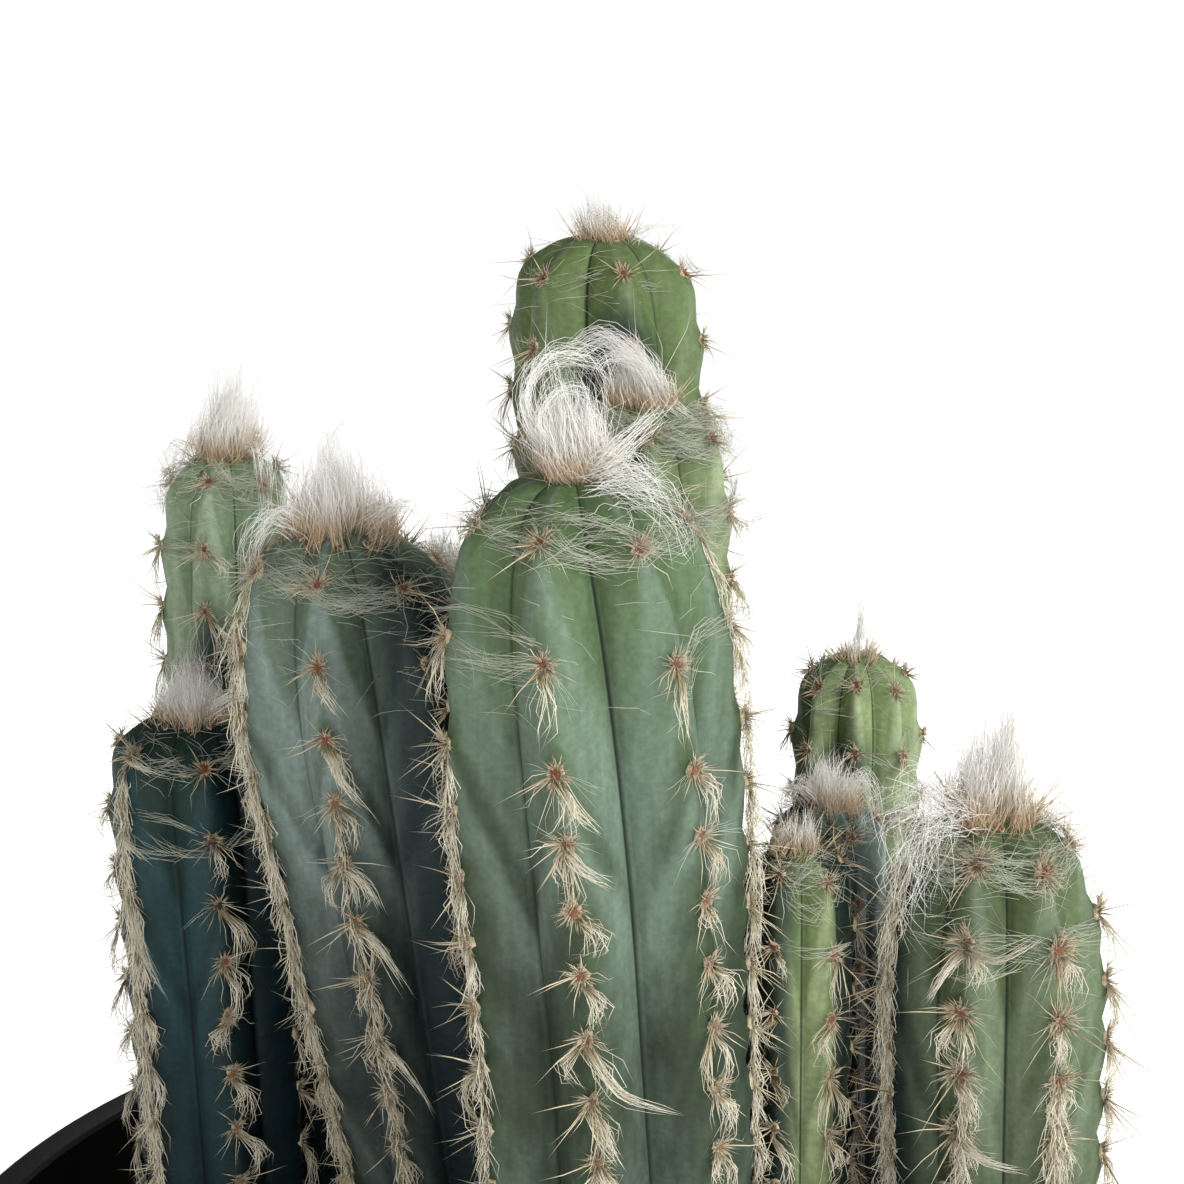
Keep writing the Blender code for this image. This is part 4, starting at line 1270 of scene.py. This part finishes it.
def hanging(column, rng, settings, frames, row, amount):
    """Locks of hairs that curl from one areole down to the next."""
    spacing = bpy.context.scene.cactus_skin.areole_spacing
    amount = settings.locks * amount * np.array((0, 0.6, 1))[np.minimum(row, 2).astype(int)]
    locks = np.floor(amount + rng.uniform(0, 1, len(amount))).astype(int)
    of_areole = np.repeat(np.arange(len(locks)), locks)
    total = len(of_areole)
    shape = (total, 1, 1)
    to_right = np.where(rng.uniform(0, 1, shape) < 0.75, 1, -1)
    swing = to_right * rng.uniform(0.6, 3.2, shape) * MM
    drift = rng.normal(0.3, 0.9, shape) * MM
    reach = spacing * rng.uniform(0.4, 1.1, shape)
    bulge = rng.uniform(0.5, 1.6, shape) * MM
    aside = rng.normal(0, 0.6, shape) * MM
    tone = column.tan * (0.4 + row[of_areole] / 9) + rng.normal(0, 0.12, total)
    own = np.repeat(np.arange(total), settings.lock_hairs)
    root, out, side, up = (values[of_areole[own]][:, None] for values in frames)
    swing, drift, reach, bulge, aside = take((swing, drift, reach, bulge, aside), own)
    count = len(own)
    share = shares(HAIR_STEPS) * rng.uniform(0.55, 1.15, (count, 1, 1))
    bow = np.sin(math.pi * share)
    spot = rng.normal(0, 0.42 * MM, (count, 1, 1)) * side + rng.normal(0, 0.3 * MM, (count, 1, 3))
    # The hairs part in the middle of a lock and meet again at both ends
    spot = (spot * np.clip(0.35 + bow, 0.35, 2)
            + 0.95 * MM * waves(rng, count, HAIR_STEPS, 1.2))
    paths = (root - 1.2 * MM * up + 0.7 * MM * out - up * (reach * share)
             + side * (aside + swing * np.sin(math.pi * share**0.85) + drift * share)
             + out * (bulge * bow) + spot)
    return grow(rng, "hanging", paths, settings, tone[own])


def single(column, rng, settings, frames, amount):
    """Loose hairs that curl out of the areoles to all sides."""
    own = np.repeat(np.arange(len(amount)), rng.poisson(settings.loose_hairs * amount))
    root, out, side, up = take(frames, own)
    count = len(own)
    across = round_areole(rng.uniform(0, TAU, count), side, up, drop=0.5)
    way = unit(across + rng.uniform(0.1, 0.9, (count, 1)) * out)
    length = rng.uniform(2.5, 7, count) * MM
    paths = curly(rng, root + 0.6 * MM * out + 1.2 * MM * across, way, length,
                  rng.uniform(0.1, 0.6, count), rng.uniform(0.08, 0.22, count))
    return grow(rng, "single", paths, settings, 0.6 * column.tan)


def rope(column, rng, settings, rib, amount):
    """Matted wool that runs down a whole rib, thicker and thinner in turn."""
    # The thinner ropes start lower, where the wool of several areoles has run together
    depth = 0.35 * column.radius + (0 if amount > 1.6 else 34 * MM)
    top, low = column.length - depth, 18 * MM
    steps = int((top - low) / (2.6 * MM))
    root, out, side, _ = crest_frames(column, np.linspace(top, low, steps), float(rib))
    wander = np.convolve(rng.normal(0, 1.3, steps + 4), np.ones(5) / 5, "valid") * MM
    line = root + 0.7 * MM * out + wander[:, None] * side
    lumps = np.convolve(rng.uniform(0.2, 1.5, steps + 2), np.ones(3) / 3, "valid")
    thick = (0.35 + 0.3 * amount) * MM * lumps
    count, share = int(235 * amount), shares(HAIR_STEPS)
    first = rng.uniform(0, steps - 5, count)
    place = first[:, None] + share[..., 0] * rng.uniform(1.5, 4, (count, 1))
    girth = np.interp(first, np.arange(steps), thick)[:, None, None]
    offset = rng.normal(0, 0.6, (count, 1, 3)) + 0.5 * out[first.astype(int)][:, None]
    flare = 0.9 * MM * rng.normal(size=(count, 1, 3)) * share**2
    paths = sample(line, place) + offset * girth * (0.7 + 0.9 * share) + flare
    paths += 0.85 * column.puff * MM * waves(rng, count, HAIR_STEPS, 1.3)
    return grow(rng, "rope", paths, settings, 0.5 * column.tan)


def long_lock(rng, settings, areole, bends):
    """One long curved lock from an areole, whose hairs end one after the other."""
    root, out, side, up = areole
    curve = [root - 1.0 * MM * up + 0.8 * MM * out]
    for right, down, forward in bends:
        curve.append(root + MM * (right * side - down * up + forward * out))
    count, fine = 30, 30
    place = rng.uniform(0.3, 1.0, (count, 1)) * np.linspace(0, fine - 1, LOCK_STEPS)
    offset = rng.normal(0, 0.55 * MM, (count, 1, 3)) * (1 - 0.4 * shares(LOCK_STEPS))
    paths = sample(smooth_path(curve, fine), place) + offset
    paths += 0.4 * MM * waves(rng, count, LOCK_STEPS, 1.1)
    return grow(rng, "long_lock", paths, settings, 0.12)


class CACTUS_OT_stage(bpy.types.Operator):
    """Lays the floor and sets the soft lights and the camera"""

    bl_idname = "cactus.stage"
    bl_label = "Stage"

    def execute(self, context):
        settings = context.scene.cactus_stage
        select_none()
        bpy.ops.mesh.primitive_plane_add(size=40, location=(0, 0, -0.5 * MM))
        floor = context.object
        floor.name = floor.data.name = "floor"
        floor.data.materials.append(floor_finish(settings.floor, settings.glow))
        for name, place, size, share in LIGHTS:
            data = bpy.data.lights.new(name, "AREA")
            data.shape, data.size, data.energy = "DISK", size, share * settings.key_power
            lamp = bpy.data.objects.new(name, data)
            lamp.location = place
            towards = Vector(LIT_POINT) - Vector(place)
            lamp.rotation_euler = towards.to_track_quat("-Z", "Y").to_euler()
            context.scene.collection.objects.link(lamp)
        world = bpy.data.worlds.new("studio")
        world.use_nodes = True
        set_inputs(world.node_tree.nodes["Background"], (1, 1, 1, 1), settings.sky)
        context.scene.world = world
        context.scene.view_settings.view_transform = "Standard"
        camera = bpy.data.objects.new("camera", bpy.data.cameras.new("camera"))
        camera.data.lens = camera.data.sensor_width * FOCAL_PIXELS / PHOTO_PIXELS
        camera.data.clip_start = 10 * MM
        camera.location = CAMERA_PLACE
        camera.rotation_euler = (math.radians(90 - LOOKING_DOWN), 0, 0)
        context.scene.collection.objects.link(camera)
        context.scene.camera = camera
        return {"FINISHED"}


STEPS = (CACTUS_OT_pot, CACTUS_OT_soil, CACTUS_OT_columns, CACTUS_OT_spines,
         CACTUS_OT_crown_wool, CACTUS_OT_areole_wool, CACTUS_OT_stage)


class CACTUS_PT_panel(bpy.types.Panel):
    """Lists the pieces of the cactus in the order in which they are made"""

    bl_label = "Cactus"
    bl_idname = "CACTUS_PT_panel"
    bl_space_type = "VIEW_3D"
    bl_region_type = "UI"
    bl_category = "Cactus"

    def draw(self, context):
        for step in STEPS:
            self.layout.operator(step.bl_idname)
        for name in SETTINGS:
            box = self.layout.box()
            group = getattr(context.scene, name)
            for key in group.bl_rna.properties.keys():
                if key not in ("rna_type", "name"):
                    box.prop(group, key)


CLASSES = (*SETTINGS.values(), *STEPS, CACTUS_PT_panel)


def register():
    for kind in CLASSES:
        bpy.utils.register_class(kind)
    for name, group in SETTINGS.items():
        setattr(bpy.types.Scene, name, bpy.props.PointerProperty(type=group))


def unregister():
    for name in SETTINGS:
        delattr(bpy.types.Scene, name)
    for kind in reversed(CLASSES):
        bpy.utils.unregister_class(kind)


def main():
    register()
    bpy.ops.cactus.pot()
    bpy.ops.cactus.soil()
    bpy.ops.cactus.columns()
    bpy.ops.cactus.spines()
    bpy.ops.cactus.crown_wool()
    bpy.ops.cactus.areole_wool()
    bpy.ops.cactus.stage()
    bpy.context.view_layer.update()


if __name__ == "__main__":
    main()
